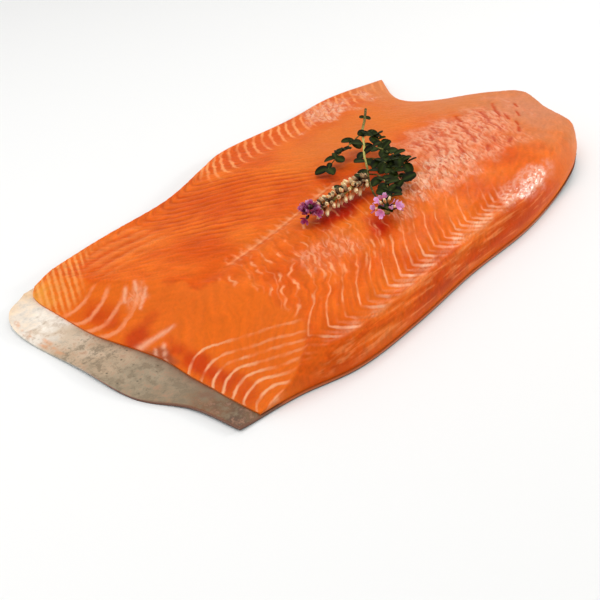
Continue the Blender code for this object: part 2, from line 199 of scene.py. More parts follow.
def profile(pairs: Sequence[tuple[float, float]], at: Array) -> Array:
    """A smooth profile through pairs of place and value.

    Args:
        pairs: The pairs, by rising place.
        at: Where it is read.

    Returns:
        The value at each place.
    """
    place, value = np.array(pairs, float).T
    slope = np.gradient(value, place)
    i = np.clip(np.searchsorted(place, at, side="right") - 1, 0, len(place) - 2)
    step = place[i + 1] - place[i]
    t = np.clip((at - place[i]) / step, 0, 1)
    return ((2 * t**3 - 3 * t**2 + 1) * value[i] + (t**3 - 2 * t**2 + t) * step * slope[i]
            + (3 * t**2 - 2 * t**3) * value[i + 1] + (t**3 - t**2) * step * slope[i + 1])


def slab(name: str, top: Array, under: Array, step: int) -> Mesh:
    """A closed mesh between a fine grid of points and a coarser one under it.

    Args:
        name: The mesh's name.
        top: The upper grid, in metres.
        under: The lower grid, of the same size, in metres.
        step: The lower grid keeps every so many of its rows and columns.

    Returns:
        The mesh, its upper vertices first.
    """
    grids = [top, under[::step, ::step]]
    faces, rims = [], []
    for grid, first in zip(grids, (0, top[..., 0].size)):
        index = first + np.arange(grid[..., 0].size).reshape(grid.shape[:2])
        corners = [index[:-1, :-1], index[1:, :-1], index[1:, 1:], index[:-1, 1:]]
        if first:
            corners.reverse()
        faces += np.stack(corners, axis=-1).reshape(-1, 4).tolist()
        rims.append(np.concatenate([index[:, 0], index[-1, 1:], index[-2::-1, -1],
                                    index[0, -2::-1]]).tolist())
    upper, lower = rims
    for k in range(len(lower) - 1):
        faces.append([lower[k], lower[k + 1], *upper[k * step:(k + 1) * step + 1][::-1]])
    made = bpy.data.meshes.new(name)
    made.from_pydata(np.vstack([grid.reshape(-1, 3) for grid in grids]).tolist(), [], faces)
    return made


def mark(mesh: Mesh, **marks: Array) -> None:
    """Store numbers or vectors for the vertices.

    Args:
        mesh: The mesh that gets the attributes.
        **marks: For each attribute its values for the first vertices. The rest get 0.
    """
    for name, values in marks.items():
        wide = values.ndim > 1 and values.shape[-1] == 3
        made = mesh.attributes.new(name, "FLOAT_VECTOR" if wide else "FLOAT", "POINT")
        every = np.zeros(len(mesh.vertices) * (3 if wide else 1), np.float32)
        every[:values.size] = values.ravel()
        made.data.foreach_set("vector" if wide else "value", every)


def strokes(x: Array, y: Array, segments: Sequence[tuple[tuple, tuple]], width: float) -> Array:
    """Short soft strokes.

    Args:
        x: Places along.
        y: Places across.
        segments: The two ends of each stroke.
        width: How wide they are.

    Returns:
        1 in the middle of a stroke and 0 away from all of them.
    """
    shown = np.zeros_like(x)
    for start, end in segments:
        step = np.subtract(end, start)
        dx, dy = x - start[0], y - start[1]
        t = np.clip((dx * step[0] + dy * step[1]) / (step @ step), 0, 1)
        shown = np.maximum(shown, bell(np.hypot(dx - t * step[0], dy - t * step[1]) / width))
    return shown


def on_grid(count: tuple[int, int], crowding: tuple[float, float], low: tuple[float, float],
            high: tuple[float, float]) -> list[Array]:
    """Shares along and across, closer together towards the edges.

    Args:
        count: Steps along and across.
        crowding: How much closer, along and across.
        low: The first shares.
        high: The last shares.

    Returns:
        The share along and the share across at each crossing.
    """
    runs = []
    for steps, crowd, first, last in zip(count, crowding, low, high):
        t = np.linspace(0, 1, steps + 1)
        runs.append(first + (last - first) * (t - crowd * np.sin(math.tau * t) / math.tau))
    return np.meshgrid(*runs, indexing="ij")


class Paint:
    """A node material in the making."""

    def __init__(self, name: str) -> None:
        """Open the material.

        Args:
            name: Its name.
        """
        self.made = bpy.data.materials.new(name)
        self.made.use_nodes = True
        self.node = partial(add, self.made.node_tree)

    def coat(self, colour: Any, coats: Iterable[tuple[Any, str]]) -> NodeSocket:
        """Lay colours over each other.

        Args:
            colour: The lowest.
            coats: Where each other one shows, as a socket or the name of a mark, and its colour.

        Returns:
            The colour of them all.
        """
        for shown, tone in coats:
            if isinstance(shown, str):
                shown = self.node("Attribute", out="Fac", attribute_name=shown)
            colour = self.node("Mix", {0: shown, 6: colour, 7: tone}, out=2, data_type="RGBA")
        return colour

    def close(self, inputs: dict[str, Any]) -> Material:
        """Set these inputs of the shader and end the material."""
        feed(self.made.node_tree.nodes["Principled BSDF"], inputs)
        return self.made


class Growth:
    """A Geometry Nodes tree with named inputs, which turns a base mesh into a finished piece."""

    def __init__(self, name: str, sizes: Sequence[str], collections: Sequence[str] = ()) -> None:
        """Open the tree.

        Args:
            name: The tree's name.
            sizes: Names of its number inputs.
            collections: Names of its collection inputs.
        """
        self.tree = bpy.data.node_groups.new(name, "GeometryNodeTree")
        sockets = [("Geometry", "OUTPUT", "Geometry"), ("Geometry", "INPUT", "Geometry"),
                   *[(size, "INPUT", "Float") for size in sizes],
                   *[(pieces, "INPUT", "Collection") for pieces in collections],
                   ("Material", "INPUT", "Material")]
        for label, way, kind in sockets:
            self.tree.interface.new_socket(label, in_out=way, socket_type="NodeSocket" + kind)
        self.given = self.tree.nodes.new("NodeGroupInput").outputs
        self.node = partial(add, self.tree)

    def close(self, geometry: NodeSocket, offset: NodeSocket | None = None) -> None:
        """End the tree: points moved, instances made real, and the material set.

        Args:
            geometry: What the tree made.
            offset: How far each point still moves.
        """
        if offset:
            geometry = self.node("GeometryNodeSetPosition",
                                 {"Geometry": geometry, "Offset": offset})
        real = self.node("GeometryNodeRealizeInstances", {"Geometry": geometry})
        self.node("NodeGroupOutput", (self.node(
            "GeometryNodeSetMaterial", {"Geometry": real, "Material": self.given["Material"]}),))

    def grow(self, name: str, base: Mesh, finish: Material, values: dict[str, Any]) -> Object:
        """Run the tree once and keep its result as a plain mesh.

        Args:
            name: Name of the finished piece.
            base: The mesh that it grows from.
            finish: The material that it gets.
            values: A value for each named input.

        Returns:
            The finished object, at the origin and without modifiers.
        """
        grown = bpy.data.objects.new(name, base)
        bpy.context.scene.collection.objects.link(grown)
        modifier = grown.modifiers.new("growth", "NODES")
        modifier.node_group = self.tree
        wanted = {**values, "Material": finish}
        for socket in self.tree.interface.items_tree:
            if socket.in_out == "INPUT" and socket.name in wanted:
                modifier[socket.identifier] = wanted[socket.name]
        graph = bpy.context.evaluated_depsgraph_get()
        plain = bpy.data.meshes.new_from_object(grown.evaluated_get(graph),
                                                preserve_all_data_layers=True, depsgraph=graph)
        grown.modifiers.remove(modifier)
        grown.data = plain
        plain.name = name
        plain.shade_smooth()
        plain.set_sharp_from_angle(angle=SHARP_ANGLE)
        return grown


def hand_over(piece: Object, node: Node) -> None:
    """Let a finished piece stand for a node of the frame and report it.

    Args:
        piece: The finished piece.
        node: The node that it replaces.
    """
    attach(piece, "root")
    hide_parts(node.value)
    low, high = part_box(node.value)
    points = np.array([v.co for v in piece.data.vertices])
    log.info("%s: %d faces, box %s to %s, node %s to %s", piece.name, len(piece.data.polygons),
             points.min(0).round(4), points.max(0).round(4), np.round(low, 4), np.round(high, 4))


@dataclass(frozen=True)
class SideForm:
    """The form of the side, from the same sizes as the part's own, in millimetres."""

    tail_edge: tuple = ((-157, -76), (-162, -50), (-174, -24), (-178, 12), (-182, 52), (-176, 70),
                        (-162, 78))
    back_edge: tuple = ((-157, -76), (-126, -82), (-92, -92.5), (-50, -95), (0, -94.5), (50, -97),
                        (90, -94.5), (122, -90), (147, -81))
    head_edge: tuple = ((147, -81), (162, -67), (170, -46), (184, -22.5), (172, -4), (150, 22),
                        (139.5, 42), (144, 60), (167, 88))
    belly_edge: tuple = ((-162, 78), (-117, 81), (-60, 83.5), (-18, 94.5), (10, 100.5), (72, 97.5),
                         (113, 97), (167, 88))
    skin: float = 1.5
    margin: float = 1.0
    gap: float = 0.3
    peel: float = 0.06
    bare: tuple = ((0.0, 14.0), (0.12, 15.0), (0.36, 27.0), (0.6, 23.0), (0.82, 23.0), (1.0, 8.0))
    across: tuple = ((0.0, 22.0), (0.1, 25.5), (0.22, 27.0), (0.36, 25.5), (0.5, 22.5),
                     (0.64, 18.0), (0.78, 13.5), (0.9, 10.0), (1.0, 8.5))
    along: tuple = ((0.0, 0.86), (0.25, 0.95), (0.55, 1.0), (0.8, 0.97), (0.92, 0.86), (1.0, 0.74))
    rim: float = 1.2
    rounding: tuple = (21.0, 8.0, 6.0)
    # How far the skin turns up at the back: everywhere, how much more at its highest, and the
    # share of the length where that is and how wide it is.
    back_lift: tuple = (0.4, 4.5, 0.93, 0.08)
    # The same at the head and at the belly, and at the tail with how many waves it has.
    plain_lifts: tuple = (0.5, 0.8)
    tail_lift: tuple = (1.2, 2.6)
    # How far in from the back, head, belly and tail the turned-up edges reach.
    lift_reach: tuple = (16.0, 12.0, 9.0, 12.0)
    cut_front: float = 0.8
    cut_angle: float = math.radians(23)
    cut_hollow: tuple = (1.6, 34.0)
    groove: tuple = (0.48, 5.0, 1.3)
    groove_run: tuple = (0.12, 0.62, 0.08)
    uneven: float = 0.5
    # From the outline's own origin to the frame's, which is under the middle of the side.
    shift: tuple = (-0.349, -1.681)
    curves: dict = field(init=False, compare=False, default_factory=dict)

    def __post_init__(self) -> None:
        """Sample the four edges."""
        for name in ("tail", "back", "head", "belly"):
            self.curves[name] = smooth_curve(getattr(self, name + "_edge"))

    @property
    def span(self) -> Array:
        """Length and width of the outline."""
        return np.ptp(np.vstack(list(self.curves.values())), axis=0)

    def plan(self, u: Array, v: Array) -> Array:
        """Places in plan.

        Args:
            u: Share of the way from tail to head.
            v: Share of the way from back to belly.

        Returns:
            The places, in the frame's millimetres.
        """
        back, belly, tail, head = (on_curve(self.curves[name], share) for name, share in
                                   (("back", u), ("belly", u), ("tail", v), ("head", v)))
        u, v = u[..., None], v[..., None]
        backs, bellies = self.curves["back"][[0, -1]], self.curves["belly"][[0, -1]]
        corners = ((1 - u) * (1 - v) * backs[0] + u * (1 - v) * backs[1]
                   + (1 - u) * v * bellies[0] + u * v * bellies[1])
        return (1 - v) * back + v * belly + (1 - u) * tail + u * head - corners + self.shift

    def skin_under(self, u: Array, v: Array) -> Array:
        """The skin's underside: flat, with edges that turn up a little.

        Args:
            u: Share of the way from tail to head.
            v: Share of the way from back to belly.

        Returns:
            Its height.
        """
        length, width = self.span
        low, high, place, wide = self.back_lift
        tall, waves = self.tail_lift
        lifts = (low + high * bell((u - place) / wide), *self.plain_lifts,
                 tall * (0.5 + 0.5 * np.sin(waves * math.tau * v)))
        edges = (v * width, (1 - u) * length, (1 - v) * width, u * length)
        return sum(lift * np.clip(1 - away / reach, 0, 1) ** 2
                   for lift, away, reach in zip(lifts, edges, self.lift_reach))

    def flesh_under(self, u: Array, v: Array) -> Array:
        """Height of the flesh's underside, just clear of the skin."""
        return self.skin_under(u, v) * (1 + self.peel) + self.skin + self.gap

    def bare_skin(self, v: Array) -> Array:
        """Length of skin left bare at the tail end."""
        return profile(self.bare, v)

    def flesh_top(self, u: Array, v: Array) -> tuple[Array, Array]:
        """The flesh's upper surface.

        Args:
            u: Share of the way from tail to head.
            v: Share of the way from back to belly.

        Returns:
            Its height, and how far the slicing cut lies below the uncut surface.
        """
        length, width = self.span
        rim = self.flesh_under(u, v) + self.rim
        edges = 1.0
        for away, reach in zip((v * width, (1 - u) * length, (1 - v) * width), self.rounding):
            edges = edges * np.sqrt(1 - (1 - np.clip(away / reach, 0, 1)) ** 2)
        start, end, fade = self.groove_run
        place, wide, deep = self.groove
        in_groove = np.clip(np.minimum(u - start, end - u) / fade, 0, 1)
        groove = deep * in_groove * bell((v - place) * width / wide)
        uneven = self.uneven * (np.sin(3.1 * math.tau * u + 4.0 * v)
                                + np.sin(2.3 * math.tau * v - 5.0 * u))
        body = profile(self.across, v) * profile(self.along, u)
        surface = rim + (body - rim + uneven) * edges - groove
        run = np.maximum(u * length - self.bare_skin(v), 0)
        hollow, reach = self.cut_hollow
        cut = (self.flesh_under(u, v) + self.cut_front + run * math.tan(self.cut_angle)
               - hollow * np.sin(math.pi * np.clip(run / reach, 0, 1)))
        return np.minimum(surface, cut), surface - cut


@dataclass
class Spots:
    """Points of the flesh's surface, with the soft noise that all its marks share."""

    # Shares of the way from tail to head and from back to belly, and places along and across.
    u: Array
    v: Array
    x: Array
    y: Array
    # How far the slicing cut lies below the uncut surface.
    below: Array

    def __post_init__(self) -> None:
        """Work out noise of 4, 9 and 12 mm."""
        self.curl, self.swirl, self.rough = (
            cloud(self.x, self.y, *facts) for facts in ((4.0, 2), (9.0, 1), (12.0, 4, 4)))

    def lines(self, count: Array, shown: Array) -> Array:
        """Pack what the material needs to draw one set of lines.

        Args:
            count: A count that is whole on each line.
            shown: How strongly the lines show.

        Returns:
            The count, the distance between lines in millimetres and the strength.
        """
        (xu, xv), (yu, yv), (cu, cv) = (np.gradient(each) for each in (self.x, self.y, count))
        area = xu * yv - xv * yu
        steep = np.hypot((cu * yv - cv * yu) / area, (cv * xu - cu * xv) / area)
        apart = 1 / np.maximum(steep, 1e-3)
        return np.stack([count, apart, shown * rise(apart, 0.99, 1.89)], axis=-1)


@dataclass(frozen=True)
class Lines:
    """Lines where the sheets between the muscle blocks reach the surface."""

    mark: str
    colour: str
    width: float
    share: float
    relief: float


@dataclass(frozen=True)
class Patch:
    """An oval region of its own colour: its middle and half-sizes in plan, and its ragged rim."""

    mark: str
    colour: str
    middle: tuple[float, float]
    reach: tuple[float, float]
    soft: float
    ragged: float = 0.1
    share: float = 1.0
    turn: float = 0.0
    on_cut: bool = False

    def cover(self, at: Spots, rough: Array) -> Array:
        """How much of the patch's colour shows.

        Args:
            at: Points of the surface.
            rough: Noise over them.

        Returns:
            Shares from 0 to 1.
        """
        c, s = math.cos(self.turn), math.sin(self.turn)
        dx, dy = at.x - self.middle[0], at.y - self.middle[1]
        away = np.hypot((c * dx + s * dy) / self.reach[0], (c * dy - s * dx) / self.reach[1])
        return self.share * rise(1 + self.ragged * rough - away, 0, self.soft)


@dataclass(frozen=True)
class FleshFinish:
    """Cold-smoked salmon flesh, cured, cut and moist.

    The eye gets a soft, slightly see-through orange with pale lines of fat, a wet film that
    shows broken highlights, and duller, pinker skin-like membrane where the belly lining stays.
    """

    deep: str = "#D8560C"
    pale: str = "#E86E1C"
    # Painted highlight on crests and glints; painted shade in troughs, whose tone also colours the
    # dark fibres of the flank.
    ridge: str = "#F9BC98"
    trough: str = "#CC4404"
    # Red of the nicks, which also paints the shade beside the seam's groove.
    nick: str = "#C43E06"
    sheet: str = "#F2AC88"
    fat: str = "#F6A872"
    strand: str = "#EE8C4C"
    cut_face: str = "#E66A16"
    roughness: tuple[float, float] = (0.42, 0.58)
    mottle: float = 26.0
    grain: float = 1.8
    # How ragged the drawn lines are, and the beads of oil that run along the fish.
    broken: float = 3.5
    bead: float = 1.8
    # The creases of the lining and the fibres of the flank: for each its direction, how drawn
    # out it is, its size in millimetres and how bent.
    crinkle: tuple = (math.radians(53), 2.6, 2.5, 0.8)
    fibre: tuple = (-0.07, 9.0, 2.2, 0.0)
    # Each set of lines: its mark, colour, width in millimetres, share and height.
    lines: tuple[Lines, ...] = (
        Lines("dorsal", "#F8A470", 1.2, 0.7, -0.12),
        Lines("squiggle", "#F8A874", 1.8, 0.7, 0.25),
        Lines("stroke", "#FFC09A", 1.8, 0.85, 0.14),
        Lines("ventral", "#C4460A", 2.8, 0.65, -0.35),
        Lines("flap", "#FAA060", 2.5, 0.75, 0.25),
        Lines("tail", "#EE8038", 7.0, 0.6, 0.4),
        Lines("corner", "#FAAC62", 2.2, 0.5, 0.14),
        Lines("cut", "#FAB888", 1.8, 0.85, 0.14),
        Lines("cut_belly", "#F8A070", 3.2, 0.7, 0.2))
    # Each: its mark, colour, middle, half-sizes, softness, raggedness and share.
    patches: tuple[Patch, ...] = (
        Patch("head", "#D87A40", (205, -10), (125, 230), 0.45),
        Patch("edge", "#C64402", (8, -98), (120, 9), 0.7, 0.2),
        Patch("plain", "#D4520A", (-92, 14), (22, 30), 0.8),
        Patch("tail_deep", "#CA4A0A", (-108, 60), (30, 22), 0.9, 0.3, 0.7),
        Patch("belly_deep", "#D04C04", (-45, 52), (42, 34), 0.8, 0.2, 0.45),
        Patch("flat", "#DE7428", (70, 36), (95, 36), 0.7, 0.1, 0.8),
        Patch("flap_deep", "#DA5208", (24, 82), (66, 17), 0.6, 0.2, 0.8),
        Patch("nape", "#D0825C", (152, -46), (50, 42), 0.8, 0.2, 0.8),
        Patch("lining", "#E67E4C", (84, -32), (68, 36), 0.7, 0.35, 0.85),
        Patch("loops", "#E67C40", (34, -47), (38, 22), 0.6, 0.4, 0.8),
        Patch("flap_lining", "#EE8A50", (92, 75), (43, 19), 0.8, 0.7, 0.75),
        Patch("loops_mid", "#E4743A", (-54, -49), (30, 19), 0.9, 0.6, 0.6),
        Patch("loops_fork", "#E4783E", (-8, -56), (14, 9), 0.8, 0.6, 0.6),
        # Red painted shadows on the flesh under the flower spike, the flower head, the leaves and
        # the twig.
        Patch("stain", "#B41A02", (-25, -27), (31, 12), 0.7, 0.2, 0.95, turn=0.05),
        Patch("stain_head", "#C01C04", (-27, -55), (22, 13), 1.0, 0.25, 0.95, turn=0.65),
        Patch("under_leaves", "#CC3606", (14, -20), (30, 25), 0.8, 0.2, 0.7),
        Patch("under_twig", "#D83C06", (4, 5), (20, 12), 1.0, 0.2, 0.7),
        Patch("deep_back", "#CC4206", (-143, -40), (9, 36), 0.8, 0.4, on_cut=True),
        Patch("deep_belly", "#C84206", (-146, 1), (15, 8), 1.0, 0.5, turn=0.1, on_cut=True),
        Patch("deep_front", "#CE4A08", (-151, 27), (13, 20), 1.0, 0.4, on_cut=True),
        Patch("glint", "#EE9460", (-135, 15), (8, 9), 1.0, 0.8, 0.5, on_cut=True),
        Patch("corner_fat", "#EE9C3A", (-159, 70), (14, 15), 1.0, 0.4, on_cut=True))
    # The blood-dark wedge in the cut face, and where the film of oil is thick; the wet patch's
    # colour is a painted highlight, laid in speckles.
    wedge: Patch = Patch("wedge", "#9C4A2C", (-150.5, -18.0), (7.0, 12.5), 0.6, 0.4, 0.8)
    wet: Patch = Patch("wet", "#F4B49A", (67, -87), (37, 7.5), 0.6, 0.3)

    def material(self) -> Material:
        """The node material, which reads the marks of the flesh mesh."""
        paint = Paint("smoked_salmon_flesh")
        node = paint.node
        place = node("TexCoord", out="Object")
        creased, flank, streak, wet, film = (
            node("Attribute", out="Fac", attribute_name=name)
            for name in ("creased", "flank", "streak", "wet", "film"))
        # The film of oil breaks into streaks that run along the fish.
        drawn_out = node("VectorMath", (place, (0.45, 1.0, 1.0)), operation="MULTIPLY")
        broad, fine, broken, beads = (
            node("TexNoise", {"Vector": at, "Scale": 1 / (size * MM), "Detail": detail})
            for at, size, detail in ((place, self.mottle, 4.0), (place, self.grain, 3.0),
                                     (place, self.broken, 2.0), (drawn_out, self.bead, 2.0)))
        crinkle, fibre = (
            node("TexNoise", {"Scale": 1 / (size * MM), "Detail": 2.0, "Distortion": bent,
                              "Vector": node("Mapping", {"Vector": place, "Rotation": (0, 0, turn),
                                                         "Scale": (drawn, 1.0, 1.0)},
                                             vector_type="TEXTURE")})
            for turn, drawn, size, bent in (self.crinkle, self.fibre))
        colour = paint.coat(self.deep, [(node("MapRange", (broad, 0.35, 0.65)), self.pale)])
        whole, cut = ([(patch.mark, patch.colour) for patch in self.patches
                       if patch.on_cut is on_cut] for on_cut in (False, True))
        # The patches and the cut face, then painted shade in the lining's troughs and painted
        # highlight on its crests.
        colour = paint.coat(colour, [*whole, ("cut_face", self.cut_face), *cut,
                                     ("trough", self.trough), ("ridge", self.ridge)])
        # Where the lining is creased, painted highlight on the crinkle's crests and painted shade
        # in its troughs; on the flank, pale and dark fibres.
        for pattern, where, low, high, tone in (
                (crinkle, creased, 0.5, 0.62, self.ridge),
                (crinkle, creased, 0.45, 0.36, self.trough),
                (fibre, flank, 0.52, 0.66, self.strand), (fibre, flank, 0.47, 0.36, self.trough)):
            shown = node("MapRange", (pattern, low, high, 0.0, 0.75))
            shown = node("Math", (shown, where), operation="MULTIPLY")
            colour = paint.coat(colour, [(shown, tone)])
        for line in self.lines:
            facts = node("Attribute", out="Vector", attribute_name=line.mark)
            count, apart, strength = node("SeparateXYZ", (facts,)).node.outputs
            near = node("Math", (count, 0.5), operation="PINGPONG")
            away = node("Math", (near, apart), operation="MULTIPLY")
            wide = node("MapRange", (broken, 0.3, 0.7, 0.4 * line.width, 0.9 * line.width))
            shown = node("MapRange", (away, wide, 0.05 * line.width),
                         interpolation_type="SMOOTHSTEP")
            for share in (strength, line.share):
                shown = node("Math", (shown, share), operation="MULTIPLY")
            colour = paint.coat(colour, [(shown, line.colour)])
        # The wedge, the fat of the seam, the septum, painted glints, and red nicks with painted
        # shade beside the seam.
        colour = paint.coat(colour, (
            (self.wedge.mark, self.wedge.colour), ("midline", self.fat), ("septum", self.sheet),
            ("fleck", self.ridge), ("nick", self.nick)))
        value = node("MapRange", (fine, 0.3, 0.7, -0.25, 0.25))
        value = node("Math", (value, streak), operation="ADD")
        value = node("MapRange", (value, -0.8, 0.8, 0.85, 1.15))
        colour = node("HueSaturation", {"Color": colour, "Value": value})
        # Painted highlight: pale speckles of the wet patch's colour over the thick film of oil.
        painted_wet_highlight = node("MapRange", (beads, 0.4, 0.62, 0.1, 0.6))
        painted_wet_highlight = node("Math", (painted_wet_highlight, wet), operation="MULTIPLY")
        normal = {}
        for height, strength, deep in ((fine, 0.6, 0.3), (crinkle, creased, 1.3),
                                       (beads, wet, 0.5)):
            normal = {"Normal": node("Bump", {"Height": height, "Strength": strength,
                                              "Distance": deep * MM, **normal})}
        return paint.close({
            "Base Color": paint.coat(colour, [(painted_wet_highlight, self.wet.colour)]), **normal,
            "Coat Normal": normal["Normal"], "Coat Weight": node("MapRange", {0: film, 3: 0.08}),
            "Roughness": node("MapRange", (broad, 0.3, 0.7, *self.roughness)), "IOR": 1.38,
            "Subsurface Weight": 0.18, "Subsurface Radius": (1.0, 0.32, 0.14),
            "Subsurface Scale": 3 * MM, "Specular IOR Level": 0.08, "Coat Roughness": 0.18,
            "Coat IOR": 1.4})


@dataclass
class Flesh:
    """The flesh of the side: its fine surface, the muscle pattern over it and the slicing cut."""

    form: SideForm
    finish: FleshFinish = field(default_factory=FleshFinish)
    steps: tuple[int, int] = (400, 192)
    crowding: tuple[float, float] = (0.25, 0.3)
    under_step: int = 4
    # Soft flesh settles on the skin, and leaves only a hair of a gap.
    settle: float = 0.2
    # The chevrons of the back: share across, and how far a line lies from its point, towards
    # the head.
    chevron: tuple = ((0.0, 84.0), (0.011, 52.0), (0.021, 33.0), (0.0315, 20.0), (0.042, 12.0),
                      (0.057, 5.0), (0.074, 0.0), (0.102, 4.0), (0.133, 9.6), (0.168, 19.0),
                      (0.2, 25.0), (0.325, 40.0), (0.46, 52.0))
    chevron_spacing: float = 10.0
    chevron_at: float = -49.6
    # The furrows of the belly side, in the middle of the side and near the tail.
    furrow: tuple = ((0.45, 0.0), (0.57, -21.0), (0.68, -42.0), (0.79, -66.0), (0.846, -75.0),
                     (0.89, -80.0), (0.915, -81.5), (0.94, -80.0), (0.97, -75.5), (1.0, -70.0))
    furrow_spacing: float = 7.2
    # The bands of the belly flap, in the same way.
    flap: tuple = ((0.45, 0.0), (0.6, -18.6), (0.68, -30.0), (0.76, -37.2), (0.8, -40.0),
                   (0.83, -39.5), (0.86, -36.5), (0.9, -31.0), (0.935, -26.0), (1.0, -15.0))
    flap_spacing: float = 7.4
    # Where the sheets meet the cut face, at its middle: the bands from back to belly.
    bands: tuple = (-80.0, -74.0, -67.5, -61.0, -54.7, -48.6, -42.0, -33.5, 11.5, 20.0, 30.0, 40.5,
                    51.0)
    # Length of the lining's ripples, and the distance between them.
    ripple: tuple[float, float] = (12.0, 5.0)
    nicks: tuple = (((82, -45), (87, -41)), ((87, -41), (92, -33)), ((92, -33), (100, -21)),
                    ((109, -46), (112, -42)), ((112, -42), (113, -35)), ((115, -35), (126, -22)),
                    ((126, -36), (134, -28)), ((134, -28), (143, -21)), ((127, -42), (132, -36)),
                    ((60, -33), (65, -27)), ((76, -39), (78, -33)), ((104, -39), (103, -35)),
                    ((124, -51), (127, -47)), ((148, -37), (151, -33)), ((66, -46), (71, -40)),
                    ((97, -59), (104, -57)), ((70, -22), (75, -18)), ((82, -18), (88, -10)),
                    ((60, -20), (63, -13)), ((105, -20), (112, -12)), ((92, -52), (96, -48)),
                    ((116, -56), (121, -53)), ((137, -44), (141, -40)), ((78, -56), (84, -52)))
    nick_width: float = 0.95
    # Painted glints: short pale strokes on the cut face and specks on the wedge.
    painted_glint_strokes: tuple = (((-137, 10), (-129, 14)), ((-139, 20), (-134, 24)), ((-132, 19), (-129, 22)),
                     ((-150, -21), (-149.5, -20)), ((-147, -18), (-146.5, -17)),
                     ((-149, -14), (-148, -13)), ((-145, -15), (-144, -14)))
    painted_glint_width: float = 0.9
    # The pale sheet between back and belly in the cut face: its points and its half-widths.
    septum: tuple = ((-154, -143, -132), (-4, -8, -12), (2.1, 1.4, 0.7))
    # The row of strokes along the back edge: its middle and its reach across.
    stroke_row: tuple[float, float] = (-86.5, 4.8)
    # Distances between the rows near the tail, the corner's lines and the beads of the seam.
    tail_spacing: float = 8.5
    corner_spacing: float = 3.6
    bead_spacing: float = 5.5
    # Where each mark may show, as fades that are multiplied: the place along (x), across (y), up
    # the cut (run) or among its bands (level), and where the fade starts and ends. A last number
    # is the share that is taken away there.
    fades: dict[str, tuple] = field(default_factory=lambda: {
        "loose": (("y", -72, -62), ("x", -45, -5, 0.7)),
        "dorsal": (("y", -14, -36), ("x", 58, -4), ("y", -84, -81), ("y", -72, -60, 0.65)),
        "every_other": (("x", 4, -10),), "stroke": (("x", 62, 37),),
        "outermost": (("y", -91, -93), ("x", -45, -30)),
        "squiggle": (("x", -112, -102), ("y", -12, -20), ("x", 12, -18)),
        "flank": (("y", -84, -89), ("x", 100, 60)), "back_streak": (("x", 50, 10),),
        "flat_streak": (("x", 5, 25), ("y", -90, -82)),
        "belly_side": (("y", -16, -4),), "flap_side": (("y", 62, 72),),
        "ventral": (("y", 1, 15), ("x", -92, -80)), "over_flap": (("x", -35, -20),),
        "flap": (("x", -36, -16), ("x", 100, 140, 0.5)),
        "tail": (("x", -140, -126), ("x", -86, -94), ("y", 38, 44), ("y", 76, 70)),
        "corner": (("y", 40, 48), ("x", -136, -116, 0.6)),
        "belly_streak": (("x", -5, 30, 0.75),), "seam": (("x", -96, -91), ("x", 4, -4)),
        "cut": (("level", -29, -32), ("run", 14, 26, 0.6)),
        "cut_belly": (("level", 7, 10), ("y", -2, 4), ("y", 47, 41), ("run", 44, 22))})

    def fade(self, name: str, at: Spots, **places: Array) -> Array:
        """Where a mark may show.

        Args:
            name: Its name in the table of fades.
            at: Points of the surface.
            **places: Places other than along and across that its fades read.

        Returns:
            Shares from 0 to 1.
        """
        shown = 1.0
        for place, start, end, *taken in self.fades[name]:
            risen = rise((vars(at) | places)[place], start, end)
            shown = shown * (1 - taken[0] * risen if taken else risen)
        return shown

    def back_marks(self, at: Spots) -> dict[str, Array]:
        """The chevrons of the back, straight near the edge and squiggly towards the middle.

        Args:
            at: Points of the surface.

        Returns:
            Arrays by the name of their mark.
        """
        x, y, curl, swirl = at.x, at.y, at.curl, at.swirl
        loose, flank = self.fade("loose", at), self.fade("flank", at)
        away = np.interp(at.v, *np.array(self.chevron).T)
        count = (x - away - self.chevron_at) / self.chevron_spacing
        count = count + 0.04 * swirl + loose * (0.26 * swirl + 0.06 * curl)
        patchy = np.clip(0.7 + 1.2 * cloud(x, y, 8.0, 7), 0.1, 1.2)
        shown = self.fade("dorsal", at) * patchy
        alternate = 0.5 - 0.5 * np.cos(math.tau * count)
        middle, reach = self.stroke_row
        outer = (bell((y - middle) / reach) * self.fade("stroke", at) * patchy
                 * (1 - 0.7 * alternate * self.fade("every_other", at))
                 * (1 - 0.8 * self.fade("outermost", at)))
        squiggly = (loose * self.fade("squiggle", at)
                    * rise(0.35 + 1.5 * cloud(x, y, 7.0, 17), 0, 1))
        flat = cloud((0.93 * x + 0.37 * y) / 4, 0.93 * y - 0.37 * x, 2.2, 12, 3)
        fine = (cloud(10 * count, 0.3 * y, 2.2, 9, 3) * self.fade("back_streak", at)
                + 0.8 * flat * self.fade("flat_streak", at)
                + cloud(0.07 * x, 0.9 * at.v * self.form.span[1], 1.3, 15, 3) * flank)
        return {"dorsal": at.lines(count, shown), "stroke": at.lines(2 * count, outer),
                "squiggle": at.lines(1.3 * count + 0.10 * curl, squiggly),
                "back_streak": fine, "flank": flank}

